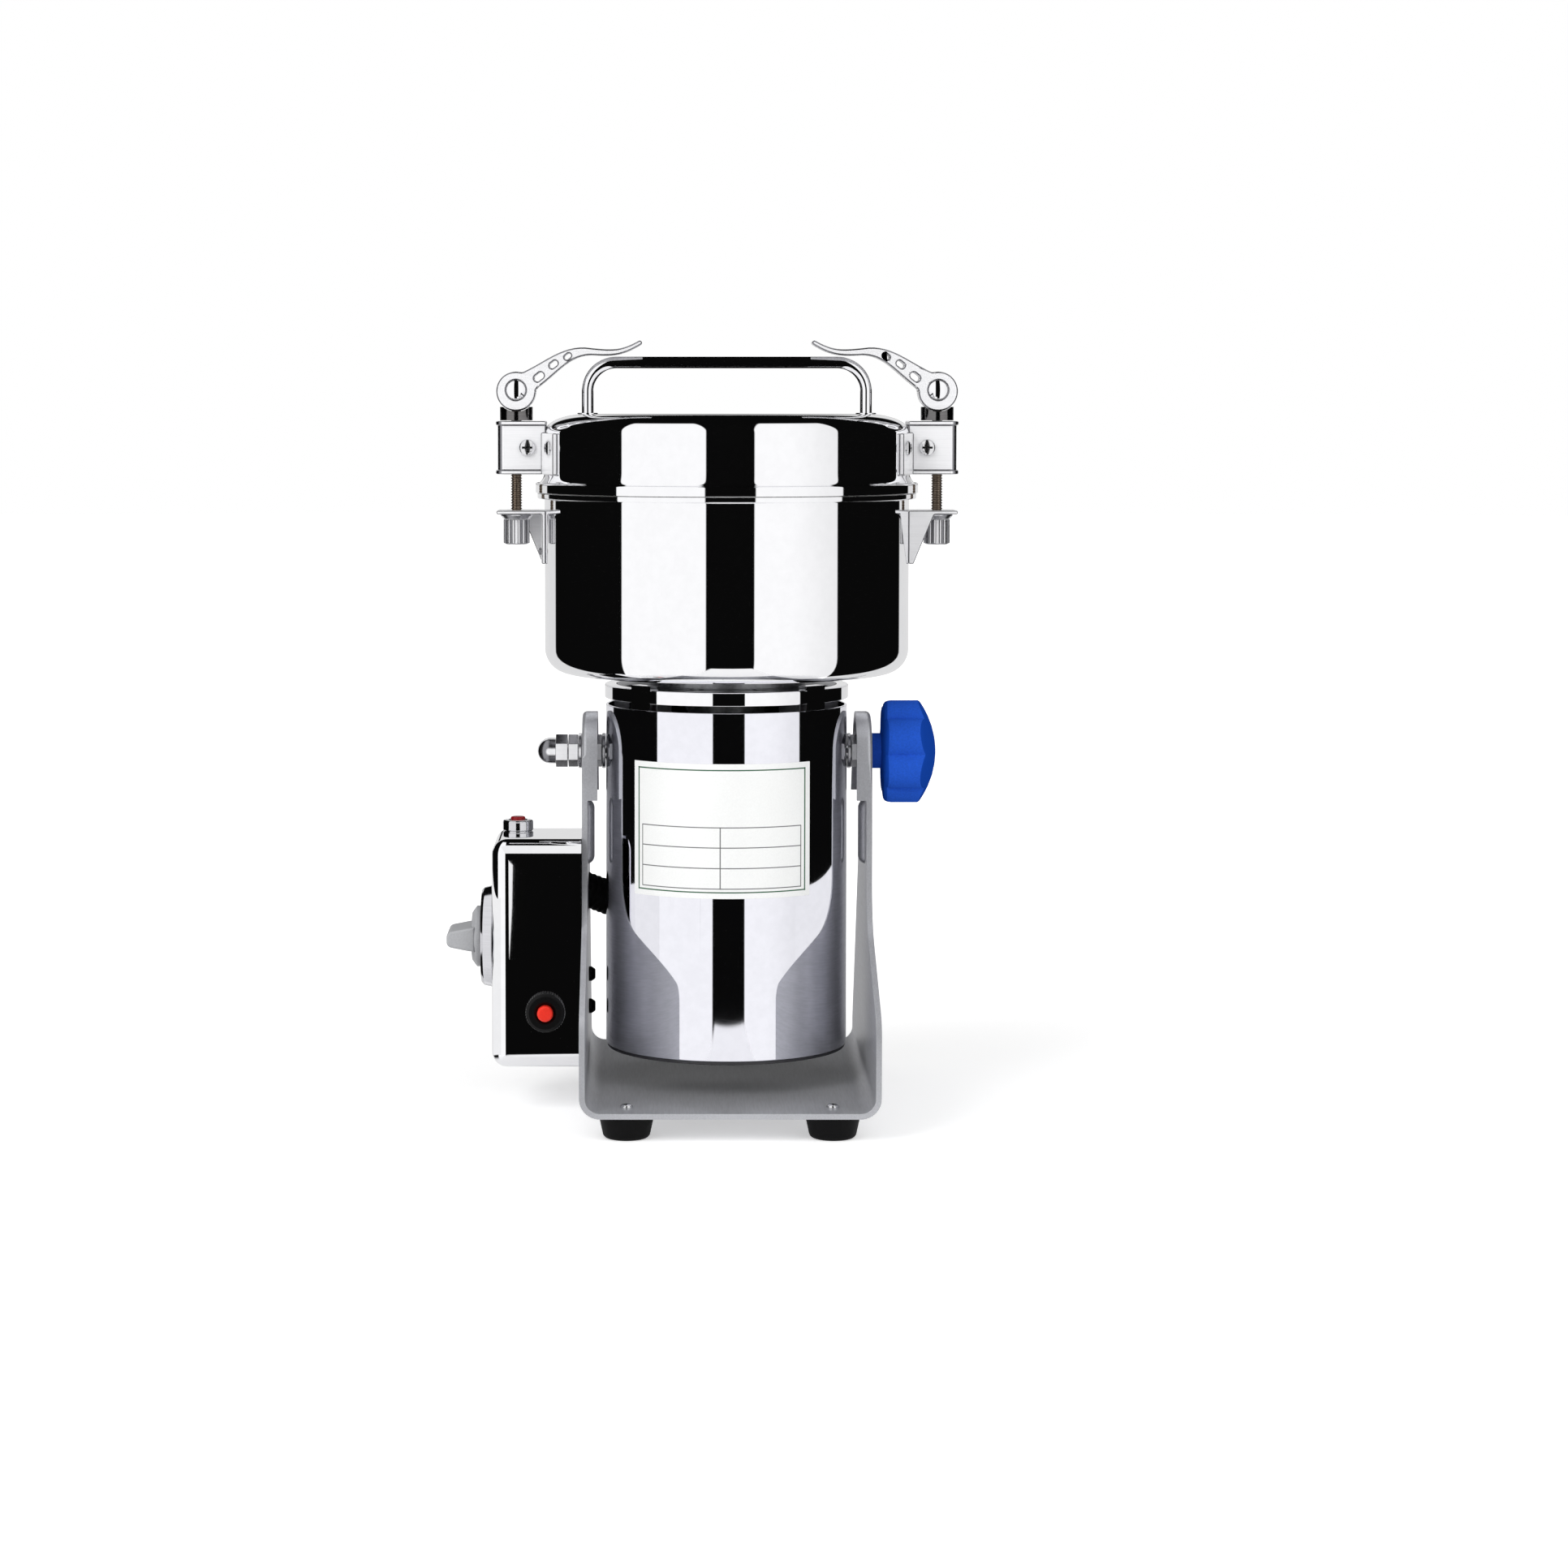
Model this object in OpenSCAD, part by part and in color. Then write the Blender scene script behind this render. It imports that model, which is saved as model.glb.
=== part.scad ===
// Electric spice grinder on a tilting stand.
// Millimetres, +Z up, the front faces -Y, the origin is on the grinder axis at floor level.

/* [Stand] */
// Half of the clear width between the arms
arm_inner_x = 63; // [60:0.5:75]
// Sheet thickness of the stand
plate_t = 2.5; // [1.5:0.1:4]
// Front to back depth of the base
base_depth = 180; // [150:1:240]
// Outer radius of the bends between base and arms
bend_r = 9; // [5:0.5:14]
// Height of the straight lower edge of the arms
arm_foot_z = 24; // [24:1:36]
// Radius of the rounded arm top
tongue_r = 18; // [15:0.5:22]
// Height of the upright front edge of the arms above the base
front_edge_h = 39; // [30:1:50]
// Drop from the tilt axis to the bend in the front edge of the arms
front_bend_drop = 75; // [65:1:90]
// Inward depth of the rim round the arm top
rim_depth = 4.5; // [1.5:0.5:5]
// Width of that rim seen from the side
rim_t = 2.5; // [1.5:0.5:4]
// Height of the rubber feet
foot_h = 10.5; // [6:0.5:16]
// Upper radius of a rubber foot
foot_top_r = 12; // [9:0.5:16]
// Lower radius of a rubber foot
foot_low_r = 10; // [7:0.5:14]
// Sideways distance of the feet from the middle
foot_x = 45; // [35:1:50]
// Front to back distance of the feet from the middle
foot_y = 76; // [50:1:76]

/* [Motor] */
// Outside radius of the motor housing
housing_r = 54.8; // [50:0.1:56]
// Height of the motor housing
housing_h = 154.7; // [150:0.5:190]
// Free height between base and motor housing
housing_clear = 16; // [12:0.5:30]
// Wall of the motor housing
housing_wall = 1.2; // [0.8:0.1:2]
// Drop of the tilt axis below the housing top
pivot_drop = 21.7; // [20:0.1:26]
// Radius of the pivot stud and of the tilt bolt
stud_r = 4; // [3:0.5:5]
// Radius of the motor shaft
shaft_r = 5; // [4:0.5:6]
// Stack height of the stator
stator_h = 45; // [30:1:48]
// Bore radius of the stator
stator_bore_r = 23.8; // [23:0.1:25]

/* [Bowl and lid] */
// Outside radius of the bowl and of the lid
bowl_r = 82.5; // [78:0.5:90]
// Height of the bowl with its rim
bowl_h = 81.5; // [75:0.5:120]
// Sheet thickness of bowl and lid
bowl_wall = 1.5; // [1:0.1:2.5]
// Outer radius of the bowl's bottom corner
bowl_corner_r = 11; // [6:0.5:18]
// How far the rims stand out past the bowl wall
rim_out = 4; // [2:0.5:6]
// Height of the lid above its seat
lid_h = 34.5; // [32:0.5:45]
// Width of the rounded shoulder of the lid
shoulder_w = 19; // [8:0.5:24]
// Height of the rounded shoulder of the lid
shoulder_h = 8; // [4:0.5:10]
// Radius of the handle rod
handle_rod_r = 2.65; // [2:0.05:4]
// Sideways distance of the handle legs from the middle
handle_x = 63; // [50:1:63]
// Height of the handle above the lid
handle_h = 26; // [24:0.5:26]
// Bend radius of the handle rod
handle_bend_r = 13; // [10:0.5:20]

/* [Clamps] */
// Distance of the clamp rods outside the bowl wall
clamp_out = 12.8; // [12.5:0.1:16]
// Radius of the clamp rods
rod_r = 2.5; // [2:0.25:2.75]
// Radius of the round lever head
head_r = 8.9; // [8:0.1:9]
// Width of the lever, front to back
lever_w = 12; // [10:0.5:15]
// Radius of the lever pin
pin_r = 4.4; // [3.5:0.1:4.6]
// Reach of the lever from its pin
lever_reach = 56.8; // [50:0.1:57]
// Width of the brackets, front to back
bracket_w = 22; // [20:1:28]

/* [Control box] */
// Sideways size of the control box
box_w = 40.5; // [38:0.5:60]
// Front to back size of the control box
box_d = 55; // [52:1:60]
// Height of the control box
box_h = 103.3; // [100:0.5:115]
// Radius of the box edges
box_edge_r = 7; // [3:0.5:9]
// Free height between base and control box
box_clear = 7.7; // [4:0.1:20]
// Radius of the timer bezel
bezel_r = 23.3; // [20:0.1:24]
// Radius of the timer knob's flange
knob_flange_r = 13.9; // [11:0.1:16]

/* [Tilt knob] */
// Largest radius of the lobed knob
lobe_reach = 23.6; // [20:0.1:26]
// Number of lobes
lobes = 7; // [5:1:9]
// Length of the lobed knob along its axis
star_l = 24; // [18:0.5:28]

/* [Hidden] */
$fn = 72;

// Fits and shared allowances
gap = 0.3;
run_fit = 0.06;
seat = 0.02;
skin = 0.1;
end_gap = 1;
lap = 0.5;
far = 400;

// Colours
steel = [0.78, 0.78, 0.80];
mirror_steel = [0.86, 0.86, 0.88];
black = [0.06, 0.06, 0.07];
red = [0.80, 0.10, 0.08];
blue = [0.09, 0.29, 0.70];
light_grey = [0.82, 0.82, 0.83];
copper = [0.72, 0.42, 0.22];
brass = [0.80, 0.66, 0.32];
alloy = [0.66, 0.67, 0.69];
dark_iron = [0.30, 0.30, 0.32];
rubber = [0.10, 0.10, 0.10];
silicone = [0.88, 0.88, 0.86];

// Heights of the main stack
base_top = foot_h + plate_t;
housing_z0 = base_top + housing_clear;
housing_z1 = housing_z0 + housing_h;
pivot_z = housing_z1 - pivot_drop;
collar_slot = 3;
collar_h = 6.2;
collar_z0 = housing_z1 + collar_slot;
collar_z1 = collar_z0 + collar_h;
neck_h = 5.1;
bowl_z0 = collar_z1 + neck_h;
bowl_z1 = bowl_z0 + bowl_h;
gasket_t = 1;
lid_z0 = bowl_z1 + gasket_t;
lid_z1 = lid_z0 + lid_h;

// Stand
arm_outer_x = arm_inner_x + plate_t;
base_half = base_depth / 2;
rim_drop = 21;
rim_low_z = pivot_z - rim_drop;
front_corner_r = 12;
front_bend_r = 30;
bead_r = 4;
bead_out = 3;
bead_l = 22;
bead_drop = 48;
bead_z0 = pivot_z - bead_drop;
bead_z1 = bead_z0 + bead_l;
foot_edge = 1;
foot_screw_r = 2;
foot_screw_l = 8;
pan_r = 3.8;
pan_h = 2.4;
foot_head_r = 2.8;
foot_head_h = 1.7;

// Control box
box_wall = 1.2;
box_x0 = arm_outer_x + skin;
box_x1 = box_x0 + box_w;
box_z0 = base_top + box_clear;
box_z1 = box_z0 + box_h;
timer_rise = 56.3;
timer_z = box_z0 + timer_rise;
bezel_t = 5.4;
bezel_face_t = 2.4;
bezel_rim_w = 3;
bezel_edge = 1.2;
bezel_taper = 1;
spindle_r = 3;
spindle_up = 6;
spindle_in = 11.6;
spindle_well = 14;
neck_r = 5.5;
neck_out = 2.2;
timer_body_w = 30;
timer_body_l = 22;
knob_gap = 0.4;
timer_knob_x0 = box_x1 + bezel_t + knob_gap;
flange_t = 4;
flange_side = 1.8;
flange_slope = 3;
grip_inset = 1;
grip_l = 11.2;
grip_base_h = 11.3;
grip_tip_h = 5.2;
button_x = box_x0 + 0.715 * box_w;
button_y = -10;
button_r = 3.35;
button_in = 5;
button_out = 0.6;
button_edge = 0.9;
button_well = 8;
collar_r = 7;
collar_neck_r = 5;
collar_l = 7.6;
collar_edge = 1;
switch_l = 20;
switch_w = 15;
switch_neck_r = 4.5;
reset_x = box_x0 + 0.4 * box_w;
reset_rise = 26;
reset_z = box_z0 + reset_rise;
reset_r = 3.6;
reset_out = 2;
ring_r = 9;
ring_neck_r = 6;
ring_l = 4;
ring_edge = 1;
breaker_l = 17;
breaker_w = 17;
screw_post_r = 4;
box_screw_r = 2;
box_screw_head_r = 3.4;
box_screw_dome = 3;
box_screw_l = 9;
post_inset = 8.5;
post_rise = 20.8;
post_pitch = 15;
box_screw_y = box_d / 2 - post_inset;
box_screw_z = [box_z0 + post_rise, box_z0 + post_rise + post_pitch];
gland_rise = 16;
gland_z = box_z0 + gland_rise;
gland_x = box_x0 + 0.5 * box_w;
gland_bore_r = 3.5;
gland_r = 9;
gland_l = 14;
gland_thread_r = 6.5;
gland_hex_t = 4;
gland_inside = 3;

// Lead between arm and motor housing
lead_r = 8;
lead_fall = 66.5;
lead_y = box_d / 2 - box_wall - lead_r - gap;
lead_z = pivot_z - lead_fall;
lead_drop = 22;
lead_yaw = 15;
lead_back = 4;
lead_len = 19;

// Motor
housing_in_r = housing_r - housing_wall;
fit_r = housing_in_r - gap;
cover_t = 1.5;
cover_step = 0.6;
cover_spigot = 4;
cover_spigot_t = 2;
cover_screw_l = 14;
vents = 12;
vent_l = 14;
vent_w = 3;
vent_ring = 24;
posts = 3;
post_ring = 40;
post_r = 5.5;
shield_rise = 11;
shield_z0 = housing_z0 + shield_rise;
shield_t = 10;
shield_plate_t = 4;
shield_arm_w = 14;
shield_arm_t = 8;
bearing_r = 13;
bearing_h = 8;
bearing_lip = 2;
bearing_floor = 1;
shaft_clear = 2;
hub_wall = 4.5;
hub_under = 0.5;
lower_bearing_z = shield_z0 + bearing_floor;
upper_bearing_z = housing_z1 - bearing_h;
commutator_r = 12;
commutator_rise = 16;
commutator_z = shield_z0 + commutator_rise;
commutator_h = 17;
commutator_bars = 24;
bar_groove = 0.6;
bar_depth = 1;
brush_w = 6;
brush_h = 8;
brush_wall = 1.5;
brush_reach = 32;
brush_block_h = 6;
brush_back = 2;
brush_spring_l = 5;
stator_rise = 59;
stator_z0 = housing_z0 + stator_rise;
stator_z1 = stator_z0 + stator_h;
yoke_in_r = 36;
yoke_out_r = 44;
pole_half_angle = 60;
pad_w = 12;
coil_in_x = 24.5;
coil_out_x = 32;
coil_low_y = 2;
coil_slot_y = 12;
coil_out_y = 33;
coil_end_y = 25;
coil_turn = 9;
coil_rise = 0.15;
air_gap = 0.7;
armature_r = stator_bore_r - air_gap;
armature_slots = 12;
slot_w = 3;
slot_depth = 6;
winding_r = 20;
winding_l = 11;
winding_sleeve = 3;
fan_space = 6;
fan_z0 = stator_z1 + coil_rise + coil_turn + fan_space;
fan_r = 43;
fan_hub_r = 10;
fan_plate_t = 2;
fan_blade_h = 9;
fan_blade_t = 1.6;
fan_blades = 10;
collar_step = 0.5;
collar_r_out = housing_r + collar_step;
collar_bevel = 0.8;
collar_r_in = 50;
collar_tab_w = 12;
collar_tab_rise = 1.8;
casting_r = collar_r_in - gap;
neck_out_r = 36;
neck_in_r = 20;
casting_hole_r = 6;
casting_hole_ring = 42.5;
casting_holes = 8;
casting_legs = 4;
leg_l = 13;
leg_in = 41.5;

// Pivot hardware
washer_r = 8;
washer_t = 1.5;
nut_flat = 13;
nut_t = 4.5;
cap_hex_t = 5.4;
cap_dome_r = 5.9;
cap_dome_l = 2.6;
stud_in = 6;
nut_gap = 0.2;
outer_washer_x = arm_outer_x + gap;
jam_nut_x = outer_washer_x + washer_t + skin;
cap_nut_x = jam_nut_x + nut_t + gap;
inner_washer_x = housing_r + nut_gap;
inner_nut_x = inner_washer_x + washer_t + skin;
lock_nut_x = housing_in_r - nut_t - 3 * nut_gap;

// Blades
blade_t = 2.5;
shoulder_r = 8;
shoulder_l = 6;
blade_rise = 12;
blade_space = 9.5;
blade_z = bowl_z0 + bowl_wall + blade_rise;
second_blade_z = blade_z + blade_t + blade_space;
blade_reach = 0.86 * bowl_r;
second_blade_reach = 0.66 * bowl_r;
blade_w = 22;
blade_tip_w = 12;
blade_nut_flat = 17;
blade_nut_t = 6.5;
shaft_end = 1.5;
shaft_top = second_blade_z + blade_t + blade_nut_t + shaft_end;
seal_drop = 4;
seal_r = 9;
seal_flange_r = 12;
seal_flange_t = 1.5;
bowl_screw_ring = 27;
bowl_screw_r = 2.5;
bowl_screw_l = 7;
bowl_screws_count = 4;
bowl_screw_head_r = 4.5;

// Clamps
rim_t_bowl = 2.5;
rim_t_lid = 3.5;
rim_flare = 2.5;
rim_step = 0.8;
spigot_gap = 0.7;
spigot_l = 5;
clamp_x = bowl_r + clamp_out;
shelf_fall = 8;
shelf_z1 = bowl_z1 - shelf_fall;
shelf_t = 1.6;
shelf_out = 8.7;
shelf_x1 = clamp_x + shelf_out;
shelf_root = 2;
shelf_drop = 24;
shelf_w = 20;
gusset_t = 1.5;
rivet_r = 2.2;
rivet_h = 1.4;
rivet_turn = 3.5;
rivet_rise = 5.5;
thumb_r = 5.9;
thumb_flare_r = 7.4;
thumb_h = 11.5;
thumb_flare_h = 2.2;
thumb_flutes = 12;
flute_r = 0.8;
thumb_floor = 1.5;
bracket_rise = 7.5;
bracket_z0 = lid_z0 + bracket_rise;
bracket_h = 23.9;
bracket_z1 = bracket_z0 + bracket_h;
bracket_t = 1.8;
lip_out = 0.9;
bracket_out = 8.2;
bracket_x1 = clamp_x + bracket_out;
bracket_corner_r = 3;
bracket_mid_z = (bracket_z0 + bracket_z1) / 2;
bracket_flange_w = 64;
flange_head = 5.4;
flange_screw_turn = 19;
flange_screw_r = 1.5;
flange_screw_l = 5;
flange_screw_head_r = 3.2;
flange_screw_head_h = 1.9;
cross_screw_in = 5.3;
cross_screw_x = clamp_x - cross_screw_in;
cross_screw_r = 2;
cross_nut_l = 2.6;
cam_washer_r = 7.4;
cam_washer_h = 6.1;
pin_rise = 14;
pin_z = bracket_z1 + pin_rise;
cam_drop = 0.6;
saddle_ease = 0.5;
saddle_r = head_r + saddle_ease;
saddle_drop = cam_drop + head_r + gap - saddle_r;
slot_half = rod_r + lap;
lever_side_gap = 0.1;
pin_end = 0.6;
lever_turn = 130;
lever_steps = 14;
lever_root = [4, 3];
lever_root_pull = [12, 6.5];
lever_mid = [34, 17.3];
lever_mid_pull = [-12, 0.9];
lever_mid_push = [10, -0.8];
lever_tip = [lever_reach, 21.8];
lever_tip_pull = [-8.8, -5.3];
root_half = 5;
mid_half = 1.6;
tip_half = 1;
lever_ovals = [[10.4, 5.9, 1.9], [17, 11.5, 1.6], [23.4, 15.1, 1.3]];
oval_angle = 38;

// Tilt knob
hub_r = 8;
hub_l = 5.2;
hub_gap = 0.4;
hub_x0 = arm_outer_x + hub_gap;
star_x0 = hub_x0 + hub_l;
knob_bore = 12;
star_side = star_l * 2 / 3;
star_core_r = lobe_reach * 0.72;
lobe_ring = lobe_reach * 0.59;
lobe_r = lobe_reach - lobe_ring;
star_fall = star_l - star_side;
star_ball_r = (lobe_reach * lobe_reach + star_fall * star_fall) / (2 * star_fall);

// Handle
handle_foot_l = 6;
handle_flange_h = 1.2;
handle_flange_r = handle_rod_r + 2;
shoulder_steps = 12;

// Point where a line from p touches the circle of radius r about c, on its left.
function tangent_point(p, c, r) =
    let (d = norm(p - c), u = (p - c) / d, turn = acos(r / d))
    c + r * (cos(turn) * u + sin(turn) * [-u[1], u[0]]);

// Point on a cubic curve.
function cubic(a, b, c, d, t) =
    pow(1 - t, 3) * a + 3 * pow(1 - t, 2) * t * b + 3 * (1 - t) * t * t * c + pow(t, 3) * d;

// Middle line of the lever, from its head to its tip.
function lever_line() = concat(
    [for (i = [0 : lever_steps])
        cubic(lever_root, lever_root + lever_root_pull, lever_mid + lever_mid_pull, lever_mid,
            i / lever_steps)],
    [for (i = [1 : lever_steps])
        cubic(lever_mid, lever_mid + lever_mid_push, lever_tip + lever_tip_pull, lever_tip,
            i / lever_steps)]);

// Half thickness of the lever at station i of its middle line.
function lever_half(i) = i <= lever_steps
    ? root_half + (mid_half - root_half) * i / lever_steps
    : mid_half + (tip_half - mid_half) * (i - lever_steps) / lever_steps;

// Direction of a line of points at station i.
function heading(line, i) =
    let (a = line[max(i - 1, 0)], b = line[min(i + 1, len(line) - 1)]) (b - a) / norm(b - a);

// Points beside a line, at a signed share of the lever's half thickness.
function beside(line, side) = [for (i = [0 : len(line) - 1])
    let (h = heading(line, i)) line[i] + side * lever_half(i) * [-h[1], h[0]]];

function reversed(list) = [for (i = [len(list) - 1 : -1 : 0]) list[i]];

// Quarter of an ellipse, from its side up to its top.
function shoulder_arc(side_x, low_z, w, h) = [for (i = [0 : shoulder_steps])
    let (a = 90 * i / shoulder_steps) [side_x - w + w * cos(a), low_z + h * sin(a)]];

module both_sides() {
    children();
    mirror([1, 0, 0]) children();
}

module at_corners(x, y) {
    for (i = [-1, 1], j = [-1, 1]) translate([i * x, j * y, 0]) children();
}

module around(count, start = 0) {
    for (i = [0 : count - 1]) rotate([0, 0, start + 360 * i / count]) children();
}

// Turns +Z of the children to +X.
module along_x() {
    rotate([0, 90, 0]) children();
}

// Turns +Z of the children to +Y.
module along_y() {
    rotate([-90, 0, 0]) children();
}

module ring(outer, inner, h) {
    linear_extrude(h) difference() {
        circle(outer);
        circle(inner);
    }
}

module rounded_rect(w, h, r) {
    square([w - 2 * r, h], center = true);
    square([w, h - 2 * r], center = true);
    for (i = [-1, 1], j = [-1, 1]) translate([i * (w / 2 - r), j * (h / 2 - r)]) circle(r);
}

// Pan head above z = 0 with a cross recess, shank below.
module pan_screw(head_r, head_h, shank_r, shank_l) {
    side_h = 0.6 * head_h;
    slot_t = 0.24 * head_r;
    difference() {
        union() {
            cylinder(h = side_h, r = head_r);
            translate([0, 0, side_h])
                cylinder(h = head_h - side_h, r1 = head_r, r2 = 0.7 * head_r);
            translate([0, 0, -shank_l]) cylinder(h = shank_l + lap, r = shank_r);
        }
        for (a = [0, 90]) rotate([0, 0, a])
            translate([0, 0, head_h]) cube([head_r, slot_t, head_h], center = true);
    }
}

module hex_nut(flat, h, bore) {
    difference() {
        cylinder(h = h, r = flat / sqrt(3), $fn = 6);
        translate([0, 0, -lap]) cylinder(h = h + 2 * lap, r = bore);
    }
}

// Front view of the stand's outer or inner contour.
module stand_section(half_w, low_z, r) {
    translate([-half_w, low_z + r]) square([2 * half_w, far]);
    translate([r - half_w, low_z]) square([2 * (half_w - r), r + lap]);
    for (s = [-1, 1]) translate([s * (half_w - r), low_z + r]) circle(r);
}

// Piece between the sharp corner p and a round of radius r, in the angle from a to b.
module corner_piece(a, p, b, r) {
    u = (a - p) / norm(a - p);
    v = (b - p) / norm(b - p);
    middle = (u + v) / norm(u + v);
    turn = acos(u * v) / 2;
    difference() {
        polygon([p + u * r / tan(turn), p - lap * middle, p + v * r / tan(turn)]);
        translate(p + middle * r / sin(turn)) circle(r);
    }
}

// Side view of an arm: across is front to back, up is height.
module arm_outline(inset) {
    half = base_half - inset;
    top_r = tongue_r - inset;
    axis = [0, pivot_z];
    touch = tangent_point([half, arm_foot_z], axis, top_r);
    bend = [-top_r, pivot_z - front_bend_drop];
    corner = [-half, base_top + front_edge_h];
    difference() {
        polygon([[-half, 0], [half, 0], [half, arm_foot_z], touch, axis, [-top_r, pivot_z], bend, corner]);
        corner_piece([-half, 0], corner, bend, front_corner_r);
    }
    corner_piece([-top_r, pivot_z], bend, corner, front_bend_r);
    translate(axis) circle(top_r);
}

module arm_rim() {
    translate([arm_inner_x - rim_depth, 0, 0]) intersection() {
        rotate([90, 0, 90]) linear_extrude(rim_depth + lap) difference() {
            arm_outline(0);
            arm_outline(rim_t);
        }
        translate([-lap, -base_half, rim_low_z]) cube([rim_depth + 2 * lap, base_depth, far]);
    }
}

module arm_bead() {
    intersection() {
        translate([arm_inner_x - bead_out + bead_r, 0, bead_z0]) {
            cylinder(h = bead_z1 - bead_z0, r = bead_r);
            sphere(bead_r);
            translate([0, 0, bead_z1 - bead_z0]) sphere(bead_r);
        }
        translate([arm_inner_x - bead_out, -bead_r, bead_z0 - bead_r])
            cube([bead_out + lap, 2 * bead_r, bead_z1 - bead_z0 + 2 * bead_r]);
    }
}

module lead_axis() {
    translate([-arm_inner_x, lead_y, lead_z]) rotate([0, 90 + lead_drop, lead_yaw]) children();
}

module lead_hole() {
    lead_axis() translate([0, 0, -2 * lead_back])
        cylinder(h = lead_len + 4 * lead_back, r = lead_r + gap);
}

module stand_bracket() {
    color(steel) difference() {
        union() {
            intersection() {
                rotate([90, 0, 0]) linear_extrude(base_depth, center = true) difference() {
                    stand_section(arm_outer_x, foot_h, bend_r);
                    stand_section(arm_inner_x, base_top, bend_r - plate_t);
                }
                rotate([90, 0, 90]) linear_extrude(3 * arm_outer_x, center = true) arm_outline(0);
            }
            both_sides() {
                arm_rim();
                arm_bead();
            }
        }
        translate([0, 0, pivot_z]) along_x()
            cylinder(h = 3 * arm_outer_x, r = stud_r + run_fit, center = true);
        at_corners(foot_x, foot_y)
            translate([0, 0, foot_h - lap]) cylinder(h = plate_t + 2 * lap, r = foot_screw_r + seat);
        for (z = box_screw_z) translate([-arm_outer_x - lap, box_screw_y, z])
            along_x() cylinder(h = plate_t + 2 * lap, r = box_screw_r + seat);
        lead_hole();
    }
}

module rubber_feet() {
    color(rubber) at_corners(foot_x, foot_y) difference() {
        union() {
            cylinder(h = foot_edge, r1 = foot_low_r - foot_edge, r2 = foot_low_r);
            translate([0, 0, foot_edge])
                cylinder(h = foot_h - foot_edge, r1 = foot_low_r, r2 = foot_top_r);
        }
        translate([0, 0, base_top - foot_screw_l - lap])
            cylinder(h = foot_screw_l + lap, r = foot_screw_r + seat);
    }
}

module foot_screws() {
    color(steel) at_corners(foot_x, foot_y)
        translate([0, 0, base_top]) pan_screw(foot_head_r, foot_head_h, foot_screw_r, foot_screw_l);
}

// Block of the control box, drawn in by the inset, open toward the arm.
module box_block(inset) {
    w = 2 * (box_w - inset);
    d = box_d - 2 * inset;
    h = box_h - 2 * inset;
    r = box_edge_r - inset;
    intersection() {
        translate([-box_x0, 0, box_z0 + inset]) linear_extrude(h) rounded_rect(w, d, r);
        translate([-box_x0, 0, box_z0 + box_h / 2]) rotate([90, 0, 0])
            linear_extrude(box_d, center = true) rounded_rect(w, h, r);
        translate([-box_x0, 0, box_z0 + box_h / 2]) rotate([90, 0, 90])
            linear_extrude(w, center = true) rounded_rect(d, h, r);
        translate([-box_x1, -box_d / 2, box_z0]) cube([box_w + (inset > 0 ? lap : 0), box_d, box_h]);
    }
}

module control_box_shell() {
    color(mirror_steel) difference() {
        union() {
            difference() {
                box_block(0);
                box_block(box_wall);
            }
            for (z = box_screw_z) translate([-box_x1 + box_wall / 2, box_screw_y, z])
                along_x() cylinder(h = box_w - box_wall / 2, r = screw_post_r);
        }
        for (z = box_screw_z) translate([-box_x0 - box_screw_l - end_gap, box_screw_y, z])
            along_x() cylinder(h = box_screw_l + end_gap + lap, r = box_screw_r + seat);
        translate([-box_x1 - lap, 0, timer_z])
            along_x() cylinder(h = box_wall + 2 * lap, r = neck_r + seat);
        translate([-button_x, button_y, box_z1 - box_wall - lap])
            cylinder(h = box_wall + 2 * lap, r = collar_neck_r + seat);
        translate([-reset_x, -box_d / 2 - lap, reset_z])
            along_y() cylinder(h = box_wall + 2 * lap, r = ring_neck_r + seat);
        translate([-gland_x, box_d / 2 - box_wall - lap, gland_z])
            along_y() cylinder(h = box_wall + 2 * lap, r = gland_thread_r + seat);
    }
}

module box_screws() {
    shank_l = plate_t + box_screw_l;
    color(black) for (z = box_screw_z) translate([-arm_inner_x, box_screw_y, z]) along_x() {
        cylinder(h = box_screw_dome, r1 = box_screw_head_r, r2 = 0.6 * box_screw_head_r);
        translate([0, 0, -shank_l]) cylinder(h = shank_l + lap, r = box_screw_r);
    }
}

module timer_dial() {
    side_t = bezel_t - bezel_edge;
    rim_in_r = bezel_r - bezel_rim_w;
    top_r = bezel_r - bezel_taper;
    color(light_grey) translate([-box_x1, 0, timer_z]) rotate([0, -90, 0]) {
        difference() {
            union() {
                cylinder(h = side_t, r1 = bezel_r, r2 = top_r);
                translate([0, 0, side_t]) cylinder(h = bezel_edge, r1 = top_r, r2 = top_r - bezel_edge);
            }
            translate([0, 0, bezel_face_t]) cylinder(h = bezel_t, r = rim_in_r);
            translate([0, 0, -lap]) cylinder(h = bezel_t, r = neck_r + seat);
        }
    }
}

module timer_mechanism() {
    color(dark_iron) difference() {
        union() {
            translate([-box_x1 + box_wall, -timer_body_w / 2, timer_z - timer_body_w / 2])
                cube([timer_body_l, timer_body_w, timer_body_w]);
            translate([-box_x1 - neck_out, 0, timer_z])
                along_x() cylinder(h = box_wall + neck_out + lap, r = neck_r);
        }
        translate([-box_x1 - neck_out - lap, 0, timer_z]) along_x()
            cylinder(h = neck_out + lap + spindle_well, r = spindle_r + run_fit);
    }
}

module timer_spindle() {
    tip_x = timer_knob_x0 + flange_t + spindle_up;
    color(steel) translate([-tip_x, 0, timer_z])
        along_x() cylinder(h = tip_x - box_x1 + spindle_in, r = spindle_r);
}

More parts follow.
